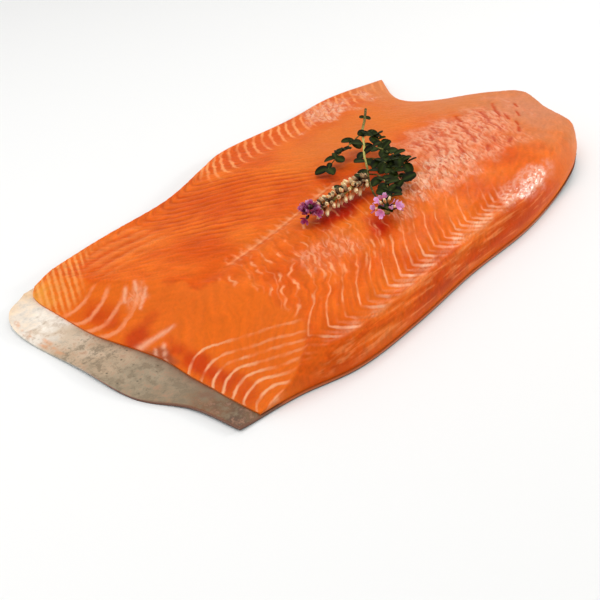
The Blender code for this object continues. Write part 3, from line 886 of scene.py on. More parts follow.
    def belly_marks(self, at: Spots) -> dict[str, Array]:
        """The furrows of the belly side, and the bands of its flap, tail and corner.

        Args:
            at: Points of the surface.

        Returns:
            Arrays by the name of their mark.
        """
        x, y, swirl = at.x, at.y, at.swirl
        patchy = np.clip(0.95 + 0.8 * cloud(x, y, 12.0, 13), 0.4, 1.2)
        uneven = 0.10 * swirl + 0.04 * at.curl
        furrows = (x - profile(self.furrow, at.v)) / self.furrow_spacing + uneven
        flaps = (x - profile(self.flap, at.v)) / self.flap_spacing + 0.6 * uneven + 0.1 * swirl
        rows = y + 0.1 * (x + 115) + 0.004 * (x + 115) ** 2 - 48
        rows = rows / self.tail_spacing + 0.12 * swirl
        slant = (x - 0.5 * (y - 60)) / self.corner_spacing + 0.08 * swirl
        low = self.fade("flap_side", at)
        near = (self.fade("corner", at)
                * rise(x - np.where(y > 60, 1.5, 0.7) * (y - 60), -131, -141))
        furrowed = (self.fade("ventral", at) * (1 - low * self.fade("over_flap", at))
                    * patchy * rise(x + 0.42 * (y - 16), 12, -2))
        fine = cloud(self.furrow_spacing * furrows, 0.3 * y, 1.8, 10, 3)
        return {"ventral": at.lines(furrows, furrowed),
                "flap": at.lines(flaps, low * self.fade("flap", at) * patchy),
                "tail": at.lines(rows, self.fade("tail", at) * (1 - near) ** 2),
                "corner": at.lines(slant, near * patchy),
                "belly_streak": fine * self.fade("belly_streak", at)}

    def cut_marks(self, at: Spots) -> dict[str, Array]:
        """The cut face, where the same sheets are cut nearly level.

        Args:
            at: Points of the surface.

        Returns:
            Arrays by the name of their mark.
        """
        x, y, curl, swirl = at.x, at.y, at.curl, at.swirl
        run = at.u * self.form.span[0] - self.form.bare_skin(at.v)
        back = (np.where(run < 10, -0.028, -0.06) * (np.minimum(run, 17) - 10) ** 2
                - np.maximum(run - 17, 0))
        belly = np.where(run < 8, 0.07, 0.01) * (run - 8) ** 2
        level = y - np.where(y < -10, back, belly) + 0.8 * swirl + 0.3 * curl
        count = np.interp(level, self.bands, np.arange(len(self.bands)))
        patchy = np.clip(0.85 + 1.2 * cloud(x, y, 7, 14), 0.15, 1)
        on_back, on_belly = (self.fade(name, at, level=level, run=run)
                             for name in ("cut", "cut_belly"))
        seam_x, seam_y, wide = self.septum
        away = y - np.interp(x, seam_x, seam_y) + 0.6 * curl
        reach = rise(x, seam_x[0], seam_x[0] + 3) * rise(x, seam_x[-1], seam_x[-1] - 4)
        return {"cut": at.lines(count, on_back * patchy),
                "cut_belly": at.lines(count, on_belly * np.sqrt(patchy)),
                "septum": 0.85 * reach * bell(away / np.interp(x, seam_x, wide)),
                "wedge": self.finish.wedge.cover(at, swirl)}

    def lining_marks(self, at: Spots, smooth: Array, loops: Array) -> dict[str, Array]:
        """The lining left on the thick part: ripples, loops, painted highlight on their crests,
        painted shade in their troughs and rings, and red where it is nicked.

        Args:
            at: Points of the surface.
            smooth: How much the lining in long ripples shows.
            loops: How much the lining in loops shows.

        Returns:
            Arrays by the name of their mark.
        """
        x, y, curl, swirl = at.x, at.y, at.curl, at.swirl
        long, apart = self.ripple
        a, b = 0.6 * x + 0.8 * y, 0.8 * x - 0.6 * y
        bent = cloud(a / long, b / (2 * apart), 1.0, 5, 2)
        folds = 0.5 + 0.5 * np.sin(math.tau * (b / apart + 1.6 * bent))
        folds = np.clip(folds * (1 + 1.3 * cloud(a / long, b / apart, 0.7, 6, 3)), 0, 1)
        knots = cloud(x + 3 * swirl, y + 3 * curl, 5.0, 11, 2)
        ring, knots = bell(knots / 0.10), rise(knots, -0.02, 0.28)
        nicks = strokes(x + 0.9 * curl, y + 0.9 * swirl, self.nicks, self.nick_width)
        painted_glint_strokes = strokes(x + 1.2 * curl, y + 1.2 * swirl, self.painted_glint_strokes, self.painted_glint_width)
        # Painted highlight on the crests of the folds and knots, and painted shade in the troughs
        # of the folds and in the rings round the knots.
        return {"fold": 0.8 * folds * smooth + 0.8 * knots * loops,
                "ridge": np.clip(0.45 * folds * smooth + 0.4 * knots * loops, 0, 0.85),
                "trough": np.clip(0.6 * rise(folds, 0.35, 0.05) * smooth + 0.6 * ring * loops,
                                  0, 0.85),
                "nick": np.minimum(0.85, 1.1 * nicks), "fleck": 0.6 * painted_glint_strokes}

    def marks(self, at: Spots) -> dict[str, Array]:
        """Everything that the material and the relief read, at each point of the surface.

        Args:
            at: Points of the surface.

        Returns:
            Arrays by the name of their mark.
        """
        length, width = self.form.span
        v, curl, rough = at.v, at.curl, at.rough
        cut = rise(at.below + 1.8 * rough, -0.48, 1.12)
        whole = 1 - cut
        made = {patch.mark: patch.cover(at, rough) * (cut if patch.on_cut else whole)
                for patch in self.finish.patches}
        made |= self.back_marks(at) | self.belly_marks(at) | self.cut_marks(at)
        made |= {"cut_face": cut, "flank": 0.8 * whole * made["flank"],
                 "wet": self.finish.wet.cover(at, rough)}
        side = self.fade("belly_side", at)
        calm = (1 - 0.5 * cut) * (1 - 0.5 * made["nape"]) * (1 - 0.5 * made["lining"])
        made["streak"] = calm * ((1 - side) * made.pop("back_streak")
                                 + side * made.pop("belly_streak"))
        on_face = (rise(at.below / 3 + 0.1 * rough, 0, 1)
                   * np.clip(1 - made["corner"][..., 2], 0, 1))
        for shown, names in ((whole, ("dorsal", "squiggle", "stroke", "ventral", "flap", "tail")),
                             (1 - 0.8 * made["flap_lining"], ("flap",)),
                             (on_face, ("cut", "cut_belly"))):
            for name in names:
                made[name][..., 2] *= shown
        smooth = np.clip(made["lining"] + 0.7 * made["flap_lining"], 0, 1)
        made |= self.lining_marks(at, smooth, made["loops"])
        # The seam along the middle of the side: pale beads of fat and creases, and red painted
        # shade beside it, as of its groove.
        away = (v - self.form.groove[0]) * width + 1.2 * at.swirl + 0.5 * curl
        run = self.fade("seam", at)
        beads = 0.5 + 0.5 * np.sin(at.x * math.tau / self.bead_spacing + 3 * curl)
        creases = bell(away / 3.0) * rise(4 * beads, 2.6, 3.6)
        made["midline"] = run * np.maximum((0.35 + 0.55 * beads) * bell(away), 0.6 * creases)
        # Painted shade: a red line along the seam's groove, on one side of it.
        made["nick"] = np.maximum(made["nick"], 0.5 * run * bell((away + 1.5) / 0.8))
        made["creased"] = np.clip(0.95 * made["loops"] + 0.5 * smooth + 0.7 * made["loops_mid"]
                                  + made["loops_fork"] + 0.9 * made["glint"]
                                  + 0.7 * made["flap_lining"], 0, 1)
        made["film"] = np.maximum.reduce([made["wet"], 0.8 * made["creased"],
                                          0.4 * made["fleck"]])
        # The relief fades out towards the rims.
        made["grip"] = rise(np.minimum.reduce([
            v * width, (1 - v) * width / 3, (1 - at.u) * length,
            at.u * length - self.form.bare_skin(v)]), 0, 3)
        return made

    def relief(self) -> Growth:
        """The tree that raises the surface: lines, ripples, nicks and a fine unevenness."""
        growth = Growth("flesh_relief", ("Ripple Height", "Nick Depth", "Streak Height",
                                         "Grain Height", "Grain Size"))
        node, given = growth.node, growth.given
        noisy = node("TexNoise", {"Scale": given["Grain Size"], "Detail": 3.0})
        total = node("Math", (noisy, given["Grain Height"]), operation="MULTIPLY")
        for name, size in (("fold", "Ripple Height"), ("nick", "Nick Depth"),
                           ("streak", "Streak Height")):
            total = node("Math", (node(MARK, {"Name": name}), given[size], total),
                         operation="MULTIPLY_ADD")
        for line in self.finish.lines:
            facts = node(MARK, {"Name": line.mark}, data_type="FLOAT_VECTOR")
            count, _, strength = node("SeparateXYZ", (facts,)).node.outputs
            turn = node("Math", (count, math.tau), operation="MULTIPLY")
            wave = node("Math", (turn,), operation="COSINE")
            shown = node("Math", (wave, strength), operation="MULTIPLY")
            total = node("Math", (shown, line.relief / 2 * MM, total), operation="MULTIPLY_ADD")
        held = node("Math", (total, node(MARK, {"Name": "grip"})), operation="MULTIPLY")
        out = node("GeometryNodeInputNormal")
        growth.close(given["Geometry"],
                     node("VectorMath", {0: out, "Scale": held}, operation="SCALE"))
        return growth

    def build(self) -> Object:
        """Build and dress the flesh."""
        form = self.form
        length, width = form.span
        low, high = (0.0, form.margin / width), (1 - form.margin / length, 1 - form.margin / width)
        share, v = on_grid(self.steps, self.crowding, low, high)
        start = form.bare_skin(v) / length
        u = start + (1 - start) * share
        place = form.plan(u, v)
        height, below = form.flesh_top(u, v)
        top, under = (np.dstack([place, level]) * MM
                      for level in (height, form.flesh_under(u, v) - self.settle))
        mesh = slab("flesh_base", top, under, self.under_step)
        mark(mesh, **self.marks(Spots(u, v, place[..., 0], place[..., 1], below)))
        made = self.relief().grow("side_flesh", mesh, self.finish.material(), {
            "Ripple Height": 0.8 * MM, "Nick Depth": -0.5 * MM, "Streak Height": 0.25 * MM,
            "Grain Height": 0.35 * MM, "Grain Size": 1 / (5 * MM)})
        hand_over(made, Node.FLESH)
        return made


@dataclass(frozen=True)
class SkinFinish:
    """Salmon skin, cured and smoked, seen from its inner side at the tail and scaly below.

    Inside, the eye gets a dull, blotchy membrane from cream at the belly to brown at the back.
    Outside, it gets silver with a dark back, dark spots and rows of fine scales.
    """

    # From back to belly, each place and its colour.
    inside: tuple = ((0.0, "#5E4430"), (0.08, "#84603E"), (0.2, "#967E60"), (0.4, "#AE9C80"),
                     (0.54, "#CDB090"), (0.68, "#E4CDB2"), (0.78, "#FAEFE0"), (1.0, "#F3D2AA"))
    outside: tuple = ((0.0, "#2E363B"), (0.25, "#4A555B"), (0.5, "#8F9796"), (0.8, "#C9CBC6"),
                      (1.0, "#DAD8D0"))
    blotch: str = "#786850"
    blush: str = "#DDA683"
    scrap: str = "#DE9A6A"
    dot: str = "#55503A"
    # The painted shadow beside the front of the flesh, which also colours the brown smear.
    juice: str = "#7E4E34"
    spot: str = "#23282B"
    rim: str = "#33291F"
    rim_fat: str = "#B85A1C"
    # Size, detail and harshness of the three noises, and the sizes of scales, spots and dots.
    noises: tuple = ((9, 5.0, 0.6), (1.6, 3.0, 0.5), (4.5, 6.0, 0.7))
    scale: float = 3.2
    spacing: tuple[float, float] = (17, 3.6)

    def material(self) -> Material:
        """The node material, which reads the marks of the skin mesh."""
        paint = Paint("smoked_salmon_skin")
        node = paint.node
        place = node("TexCoord", out="Object")
        across, inner, rim, rim_dark, rim_pale = (
            node("Attribute", out="Fac", attribute_name=name)
            for name in ("across", "inner", "rim", "rim_dark", "rim_pale"))
        broad, fine, rough = (
            node("TexNoise", {"Vector": place, "Scale": 1 / (size * MM), "Detail": detail,
                              "Roughness": harsh}) for size, detail, harsh in self.noises)
        cells, spots, dots = (
            node("TexVoronoi", {"Vector": place, "Scale": 1 / (size * MM)}, feature=feature)
            for size, feature in ((self.scale, "DISTANCE_TO_EDGE"), (self.spacing[0], "F1"),
                                  (self.spacing[1], "F1")))
        shift = node("MapRange", (broad, 0.3, 0.7, -0.11, 0.11))
        at = node("Math", (across, shift), operation="ADD")
        ramps = []
        for share, stops in ((at, self.inside), (across, self.outside)):
            ramps.append(node("ValToRGB", (share,)))
            elements = ramps[-1].node.color_ramp.elements
            for spot, _ in stops[2:]:
                elements.new(spot)
            for element, (spot, code) in zip(list(elements), stops):
                element.position, element.color = spot, linear(code)
        # What shows of each pattern: the pattern, and what it is mapped from and to.
        fewer, upper, band, patchy, blotchy, blushing, seams, spotty, dotted, uneven, matt = (
            node("MapRange", row) for row in (
                (across, 0.6, 0.76, 1.0, 0.06), (across, 0.35, 0.55, 1.0, 0.0),
                (across, 0.22, 0.36), (broad, 0.46, 0.56), (rough, 0.46, 0.6, 0.0, 0.85),
                (rough, 0.46, 0.36, 0.0, 0.45), (cells, 0.0, 0.12, 0.45, 0.0),
                (spots, 0.13, 0.18, 0.9, 0.0), (dots, 0.1, 0.22, 0.85, 0.0),
                (rough, 0.3, 0.7, 0.68, 1.18), (fine, 0.3, 0.7, 0.3, 0.55)))
        band = node("Math", (band, fewer), operation="MULTIPLY")
        dotted = node("Math", (dotted, band), operation="MULTIPLY")
        blotchy, blushing, spotty, dotted = (
            node("Math", pair, operation="MULTIPLY") for pair in (
                (blotchy, fewer), (blushing, fewer), (spotty, upper), (dotted, patchy)))
        inside = paint.coat(ramps[0], ((blotchy, self.blotch), (blushing, self.blush),
                                       (dotted, self.dot), ("juice", self.juice),
                                       ("scraps", self.scrap)))
        inside = node("HueSaturation", {"Color": inside, "Value": uneven})
        outside = paint.coat(ramps[1], ((seams, self.spot), (spotty, self.spot)))
        colour = paint.coat(outside, [(inner, inside)])
        # The side face of the skin is thin fat over the dark outer layer.
        half = node("Math", (inner, 0.5), operation="PINGPONG")
        side = node("MapRange", (half, 0.01, 0.08))
        lower = node("MapRange", (inner, 0.2, 0.4, 1.0, 0.0))
        lower = node("Math", (lower, side), operation="MULTIPLY")
        dark = node("Math", (rim_dark, 0.7), operation="MULTIPLY")
        dark = node("Math", (dark, lower), operation="MAXIMUM")
        edging = paint.coat(self.rim_fat, [(dark, self.rim)])
        side = node("Math", (side, rim_pale), operation="SUBTRACT", use_clamp=True)
        shown = node("Math", (rim, side), operation="MAXIMUM")
        scaly = node("Mix", {0: inner, 2: cells, 3: fine})
        bump = node("Bump", {"Height": scaly, "Strength": 0.6, "Distance": 0.5 * MM})
        return paint.close({"Base Color": paint.coat(colour, [(shown, edging)]),
                            "Roughness": matt, "Normal": bump, "IOR": 1.42, "Coat Weight": 0.35,
                            "Coat Roughness": 0.2})


@dataclass
class Skin:
    """The skin under the side, bare at the tail end with a few scraps of flesh left on it."""

    form: SideForm
    finish: SkinFinish = field(default_factory=SkinFinish)
    steps: tuple[int, int] = (220, 120)
    crowding: tuple[float, float] = (0.8, 0.5)

    def relief(self) -> Growth:
        """The tree that wrinkles the bare skin and raises the scraps."""
        growth = Growth("skin_relief", ("Scrap Height", "Wrinkle Height", "Wrinkle Size"))
        node, given = growth.node, growth.given
        noisy = node("TexNoise", {"Scale": given["Wrinkle Size"], "Detail": 3.0})
        wrinkle = node("Math", (noisy, 0.5), operation="SUBTRACT")
        for size in (given["Wrinkle Height"], node(MARK, {"Name": "bare"})):
            wrinkle = node("Math", (wrinkle, size), operation="MULTIPLY")
        total = node("Math", (node(MARK, {"Name": "scraps"}), given["Scrap Height"], wrinkle),
                     operation="MULTIPLY_ADD")
        growth.close(given["Geometry"], node("CombineXYZ", {"Z": total}))
        return growth

    def build(self) -> Object:
        """Build and dress the skin."""
        form = self.form
        length, width = form.span
        u, v = on_grid(self.steps, self.crowding, (0, 0), (1, 1))
        place, height = form.plan(u, v), form.skin_under(u, v)
        top, under = (np.dstack([place, height + thick]) * MM for thick in (form.skin, 0))
        mesh = slab("skin_base", top, under, 1)
        x, y = place[..., 0], place[..., 1]
        out, flesh = u * length, form.bare_skin(v)
        rough = cloud(x, y, 6.0, 8, 3)
        bare = rise(out, flesh, flesh - 3) * rise(out, 0, 1.5)
        near = 0.9 * bell((y - 40) / 26) * bell((out - 3.5) / 4)
        ragged = rise(0.5 + 1.2 * cloud(x, y, 2.5, 16, 2), 0, 1)
        scraps = 0.75 * rise(0.55 * rough + near, 0.45, 0.75) * bare * ragged
        at_tail = rise(out, 30, 24)
        edge = rise(np.minimum(out, v * width), 1.3, 0.7) * rise(v, 0.35, 0.2)
        dark = np.maximum(at_tail * rise(v, 0.5, 0.35), rise(x, 60, 120))
        # Painted shadow on the skin beside the front of the flesh, darker nearer to it; the brown
        # smear further on is the skin's own colour.
        away = np.clip(flesh - out, 0, None) + 0.6 * rough
        juice = 0.75 * np.exp(-away / 2.6) * rise(v, 0.1, 0.2) * rise(v, 0.72, 0.52)
        smear = bell((x + 153) / 5) * bell((y + 53) / 8) * rise(rough, -0.6, 0.4)
        mark(mesh, inner=np.ones(u.size), scraps=scraps, juice=np.maximum(juice, 0.7 * smear),
             bare=bare, rim=edge * (1 - 0.4 * at_tail), across=np.tile(v.ravel(), 2),
             rim_dark=np.tile(dark.ravel(), 2),
             rim_pale=np.tile((at_tail * rise(v, 0.35, 0.55)).ravel(), 2))
        made = self.relief().grow("side_skin", mesh, self.finish.material(), {
            "Scrap Height": 0.5 * MM, "Wrinkle Height": 0.8 * MM, "Wrinkle Size": 1 / (7 * MM)})
        hand_over(made, Node.SKIN)
        return made


@dataclass(frozen=True)
class PlantFinish:
    """A part of fresh thyme: two tones, a grain over it and how glossy it is.

    The eye gets small soft parts with no strong highlight, whose tones differ from one to the next.
    """

    name: str
    dark: str
    light: str
    tip: str
    tip_from: float
    roughness: float
    grain: float
    glow: float = 0.0

    def material(self) -> Material:
        """The node material, which reads the marks of the thyme's meshes."""
        paint = Paint(self.name)
        node = paint.node
        place = node("TexCoord", out="Object")
        tint, along, vein = (node("Attribute", out="Fac", attribute_name=name)
                             for name in ("tint", "along", "vein"))
        grain = node("TexNoise", {"Vector": place, "Scale": 1 / (self.grain * MM), "Detail": 3.0})
        mixed = node("Math", (grain, tint), operation="ADD")
        tipped = node("MapRange", (along, self.tip_from, self.tip_from + 0.3))
        lit = node("MapRange", (tint, -0.3, 0.6, 0.1, 1.0))
        tipped = node("Math", (tipped, lit), operation="MULTIPLY")
        tipped = node("Math", (tipped, vein), operation="MAXIMUM")
        return paint.close({
            "Base Color": paint.coat(self.dark, [(node("MapRange", (mixed, 0.45, 1.35)),
                                                  self.light), (tipped, self.tip)]),
            "Normal": node("Bump", {"Height": grain, "Strength": 0.5, "Distance": 0.25 * MM}),
            "Roughness": self.roughness, "Specular IOR Level": 0.1,
            "Subsurface Weight": self.glow, "Subsurface Scale": 1 * MM})


@dataclass
class Template:
    """One small part in its own axes: +X along it, a length and a width of 1.

    Its rings turn from +Y to +Z, so that its faces point outwards.
    """

    rings: list[list[Point]]
    end: Point

    @property
    def points(self) -> list[Point]:
        """The points of the rings, and the end."""
        return [p for ring in self.rings for p in ring] + [self.end]

    def mesh(self, name: str) -> Mesh:
        """The closed mesh over the rings, with how far along it and how near the midrib.

        Args:
            name: The mesh's name.

        Returns:
            The mesh, its faces outwards.
        """
        *ringed, end = self.points
        count, total = len(self.rings[0]), len(ringed)
        points = [*ringed, (0, 0, 0), end]
        faces = []
        for i in range(count):
            j = (i + 1) % count
            faces += [(total, j, i), (total + 1, total - count + i, total - count + j)]
            faces += [(a + i, a + j, a + count + j, a + count + i)
                      for a in range(0, total - count, count)]
        made = bpy.data.meshes.new(name)
        made.from_pydata(points, [], faces)
        mark(made, along=np.clip(np.array(points)[:, 0], 0, 1),
             vein=0.22 * (np.arange(total) % count == 2))
        return made


def leaf_template(bend: float) -> Template:
    """A broad oval leaf with its edges a little up.

    Args:
        bend: How far its tip drops.

    Returns:
        The leaf's shape.
    """
    sides = (1.0, 0.55, 0.0, -0.55, -1.0)
    rings = []
    for t in (0.03, 0.12, 0.3, 0.52, 0.72, 0.88, 0.97):
        half = 0.5 * (1 - (2 * t - 1) ** 2) ** 0.45
        sag = 0.35 * bend * t * t
        upper = [(t, s * half, 0.2 * half * s * s + 0.035 * (1 - s * s) * (0.4 + abs(s)) - sag)
                 for s in sides]
        lower = [(t, s * half, 0.2 * half * s * s - 0.045 * (1 - s * s) - sag)
                 for s in sides[-2:0:-1]]
        rings.append(upper + lower)
    return Template(rings, (1, 0, -0.35 * bend))


def calyx_template() -> Template:
    """A ribbed, nearly closed cup with pointed teeth round its mouth."""
    outline = ((0.05, 0.4, 0.0), (0.28, 0.8, 0.0), (0.56, 0.95, 0.0), (0.8, 0.68, 0.0),
               (0.9, 0.55, 0.12), (0.82, 0.3, 0.0))
    turns = [(k % 2, math.tau * k / 10) for k in range(10)]
    return Template([[(x + tooth * rib, 0.5 * r * (1 + 0.14 * rib) * math.cos(turn),
                       0.5 * r * (1 + 0.14 * rib) * math.sin(turn)) for rib, turn in turns]
                     for x, r, tooth in outline], (0.6, 0, 0))


def petal_template() -> Template:
    """A small spreading petal with a notched tip."""
    rings = []
    for t, tip in ((0.1, 0.0), (0.4, 0.0), (0.75, 0.0), (0.98, 0.1)):
        half = 0.5 * math.sin(math.pi * min(t, 0.93) ** 1.5) ** 0.6
        curl = 0.25 * t * t
        rings.append([(t + tip, half, curl), (t, 0, curl + 0.06), (t + tip, -half, curl),
                      (t, 0, curl - 0.06)])
    return Template(rings, (0.9, 0, 0.2))


@dataclass
class Sprig:
    """The flowering thyme on the side, laid out by the same rule as the part's own."""

    form: SideForm
    # Points in plan and over the flesh. A twig also has its pairs of leaves and their size.
    main_stem: tuple = ((74, 33.5, 14), (61, 24.5, 12), (51, 18.5, 9.5), (35.5, 5.5, 8.5),
                        (21, -6, 8.5), (9.5, -17, 8), (-2.5, -27.5, 7.5), (-12.5, -39, 7),
                        (-19, -49.5, 7))
    twigs: tuple = ((((51, 18, 9), (35.5, 14, 8.5), (18.5, 11.5, 7), (5, 8, 5)), 4, 1.0),
                    (((50, 18, 9.5), (43, 6.5, 11), (38.5, -5, 10)), 3, 0.95),
                    (((33, 3, 8.5), (31, -9.5, 10), (28, -21.5, 9.5), (26.5, -31, 7.5)), 6, 1.0),
                    (((19.5, -8, 8.5), (20.5, -16.5, 9), (16.5, -28.5, 8.5), (10.5, -40, 6.5)),
                     6, 1.0),
                    (((5, -21.5, 8), (6.5, -27.5, 8), (-1.5, -39, 8), (-9.5, -46, 7.5)), 4, 1.0))
    # The main stem's leaves: between which of its samples, how many pairs and their size.
    main_leaves: tuple = (((1, 3), 1, 0.5), ((4, 11), 4, 0.9))
    spike: tuple = ((1.5, -23.5, 7.5), (-9, -21.5, 7), (-20, -21, 6.8), (-33, -20, 6.5),
                    (-42.5, -19, 6.3))
    head: Point = (-20, -52, 7.5)
    # Radius of the main stem, the twigs, the spike and the head's short stalk.
    radii: tuple = (0.85, 0.45, 1.3, 1.8)
    # How far the stalk goes below and above the middle of the head.
    stalk: tuple = (2.5, 1.0)
    # The flowers at the spike's tip and on the head: how many, their reach and their tint.
    flowers: tuple = ((5, 2.6, -0.2), (7, 6.0, 0.9))
    # The petals of buds at the same two places, in the same way.
    buds: tuple = ((80, 4.6, -0.45), (6, 5.0, 0.3))
    fork_leaves: int = 9
    head_leaves: int = 12
    dark_cups: int = 70
    # Each leaf on the spike: how far along it is and its size.
    spike_leaves: tuple = ((0.08, 0.7), (0.42, 0.75))
    gap: float = 0.35
    # How far past the top of the solid a part may reach.
    ceiling: float = 0.8
    # A step of a part's tilt, and how many steps a leaf and any other part may try.
    tilt: float = 0.25
    tries: tuple[int, int] = (5, 8)
    leaf: Point = (7.8, 5.8, 7.0)
    calyx: Point = (5.6, 2.4, 2.4)
    petal: Point = (3.2, 2.8, 2.8)
    whorl_spacing: float = 4.3
    cups_per_whorl: int = 5
    bends: tuple[float, ...] = (0.1, 0.3, 0.55, 0.8)
    seed: int = 7
    # Where the parts of each organ grow: place, turn, size, kind and tint.
    grown: dict[Organ, list] = field(default_factory=lambda: {organ: [] for organ in Organ})
    stems: list[tuple[list[Vector], float]] = field(default_factory=list)

    def __post_init__(self) -> None:
        """Set up what the layout measures against."""
        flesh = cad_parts[Node.FLESH.value].data
        self.tree = BVHTree.FromPolygons([v.co for v in flesh.vertices],
                                         [face.vertices for face in flesh.polygons])
        self.rng = random.Random(self.seed)
        self.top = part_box(Node.SPRIG.value)[1][2] + self.ceiling * MM
        self.shapes = {Organ.LEAF: [leaf_template(bend) for bend in self.bends],
                       Organ.CALYX: [calyx_template()], Organ.PETAL: [petal_template()]}

    def height(self, x: float, y: float) -> float:
        """Height of the flesh at a place in plan."""
        return self.tree.ray_cast(Vector((x, y, 1.0)), -UP)[0].z

    def over_flesh(self, x: float, y: float, height: float) -> Vector:
        """A point given in plan and by its height over the flesh, all in millimetres."""
        x, y = (np.array((x, y)) + self.form.shift) * MM
        return Vector((x, y, self.height(x, y) + height * MM))

    def place(self, organ: Organ, origin: Vector, along: Vector, over: Vector,
              scale: float, kind: int = 0, tint: float | None = None) -> None:
        """Add a part, tilted up in steps until it clears the flesh, or leave it out.

        Args:
            organ: What it is.
            origin: Where it grows from.
            along: The direction of its length.
            over: The direction that its upper face leans to.
            scale: Its size.
            kind: Which of the organ's shapes.
            tint: How light it is, or nothing for a mix.
        """
        size = tuple(s * MM * scale for s in getattr(self, organ.value))
        along = along.normalized()
        if tint is None:
            tint = abs(math.sin(1000 * (origin.x + 2 * origin.y + scale)))
        for step in range(self.tries[organ is not Organ.LEAF]):
            x = (along + self.tilt * step * UP).normalized()
            y = over.cross(x).normalized()
            turn = Matrix((x, y, x.cross(y))).transposed()
            there = [origin + turn @ Vector([s * share for s, share in zip(size, p)])
                     for p in self.shapes[organ][kind].points]
            if max(p.z for p in there) > self.top:
                return
            if min(p.z - self.height(p.x, p.y) for p in there) > self.gap * MM:
                self.grown[organ].append((tuple(origin), tuple(turn.to_euler()), size, kind, tint))
                return

    @staticmethod
    def round_axes(along: Vector) -> tuple[Vector, Vector]:
        """Find the axes across something that runs along a direction.

        Args:
            along: The direction.

        Returns:
            Unit axes sideways and over.
        """
        x = along.normalized()
        y = UP.cross(x).normalized()
        return y, x.cross(y)

    @staticmethod
    def along_path(path: list[Vector], share: float) -> tuple[Vector, Vector]:
        """Find a place on a path.

        Args:
            path: The path.
            share: How far along it.

        Returns:
            The place, and the path's direction there.
        """
        at = share * (len(path) - 1)
        i = min(int(at), len(path) - 2)
        return path[i].lerp(path[i + 1], at - i), path[i + 1] - path[i]

    def add_stem(self, points: Sequence, radius: float, count: int) -> list[Vector]:
        """Add a stem.

        Args:
            points: The points that it passes, in plan and over the flesh.
            radius: Its radius in millimetres.
            count: How many samples its path gets.

        Returns:
            Its path.
        """
        path = [self.over_flesh(*point) for point in smooth_curve(points, count)]
        self.stems.append((path, radius * MM))
        return path

    def add_leaves(self, path: list[Vector], pairs: int, size: float) -> None:
        """Add leaves in opposite pairs, every other pair turned round the stem.

        Args:
            path: The stem's path.
            pairs: How many pairs.
            size: The size of the leaves.
        """
        draw = self.rng.uniform
        for pair in range(pairs):
            origin, heading = self.along_path(path, 0.3 + 0.7 * pair / max(1, pairs - 1))
            y, z = self.round_axes(heading)
            turn = (pair % 2) * math.radians(50) + draw(-0.35, 0.35)
            for half in (0, math.pi):
                out = math.cos(turn + half) * y + math.sin(turn + half) * z
                out.z = max(out.z, -0.1)
                up = Vector((draw(-0.5, 0.3), draw(-0.5, 0.3), 1))
                along = out + heading.normalized() * draw(0.2, 0.9)
                along.z = min(along.z, 0.5)
                scale, bend = size * draw(0.85, 1.12), draw(0.1, 0.8)
                kind = int(np.argmin(np.abs(np.array(self.bends) - bend)))
                self.place(Organ.LEAF, origin, along, up, scale, kind)

    def add_flowers(self, centre: Vector, count: int, reach: float, tint: float) -> None:
        """Add open flowers, each a cup with four petals, spread evenly out and up round a centre.

        Args:
            centre: The middle of the head.
            count: How many flowers.
            reach: How far out they grow.
            tint: How light their petals are.
        """
        for k in range(count):
            up = 0.95 + (-0.2 - 0.95) * k / (count - 1)
            level, turn = math.sqrt(1 - up**2), GOLDEN_ANGLE * k
            out = Vector((level * math.cos(turn), level * math.sin(turn), up))
            origin, over = centre + out * reach * MM / 2, out.orthogonal()
            out = out.normalized()
            self.place(Organ.CALYX, origin, out, over, 0.7, tint=tint - 0.4)
            side = out.orthogonal().normalized()
            across = out.cross(side)
            mouth = origin + out * self.calyx[0] * MM * 0.62
            start = self.rng.uniform(0, math.tau)
            for petal in range(4):
                turn = start + math.tau * petal / 4
                spread = math.cos(turn) * side + math.sin(turn) * across
                self.place(Organ.PETAL, mouth, spread + 0.5 * out, out, 1.0, tint=tint)

    def lay_out(self) -> None:
        """Lay out the stems, the leaves, the flower spike and the flower head."""
        thick, thin, fleshy, short = self.radii
        main = self.add_stem(self.main_stem, thick, 16)
        for (first, last), pairs, size in self.main_leaves:
            self.add_leaves(main[first:last], pairs, size)
        for points, pairs, size in self.twigs:
            self.add_leaves(self.add_stem(points, thin, 8), pairs, size)
        path = self.add_stem(self.spike, fleshy, 10)
        length = sum((b - a).length for a, b in zip(path, path[1:]))
        whorls = int(length / (self.whorl_spacing * MM))
        for whorl in range(whorls - 1):
            origin, heading = self.along_path(path, (whorl + 0.5) / whorls)
            y, z = self.round_axes(heading)
            for k in range(self.cups_per_whorl):
                turn = math.tau * (k + 0.5 * (whorl % 2)) / self.cups_per_whorl
                turn += self.rng.uniform(-0.2, 0.2)
                out = math.cos(turn) * y + math.sin(turn) * z
                self.place(Organ.CALYX, origin + out * 1.1 * MM, out + 0.7 * heading.normalized(),
                           z, self.rng.uniform(0.8, 1.1))
        self.add_flowers(path[-1], *self.flowers[0])
        centre = self.over_flesh(*self.head)
        low, high = self.stalk
        self.stems.append(([centre - low * MM * UP, centre, centre + high * MM * UP], short * MM))
        self.add_flowers(centre, *self.flowers[1])
        self.add_small_parts(path, centre)

    def add_small_parts(self, spike: list[Vector], head: Vector) -> None:
        """Add the small leaves in the forks, dark cups in the gaps and buds at the spike's tip.

        Args:
            spike: The path of the flower spike.
            head: The middle of the flower head.
        """
        rng = random.Random(self.seed + 1)
        draw, kinds = rng.uniform, len(self.bends)

        def around(rising: float) -> Vector:
            """A random direction that points up by about this much."""
            turn = draw(0, math.tau)
            return Vector((math.cos(turn), math.sin(turn), rising * draw(0.3, 1.2)))

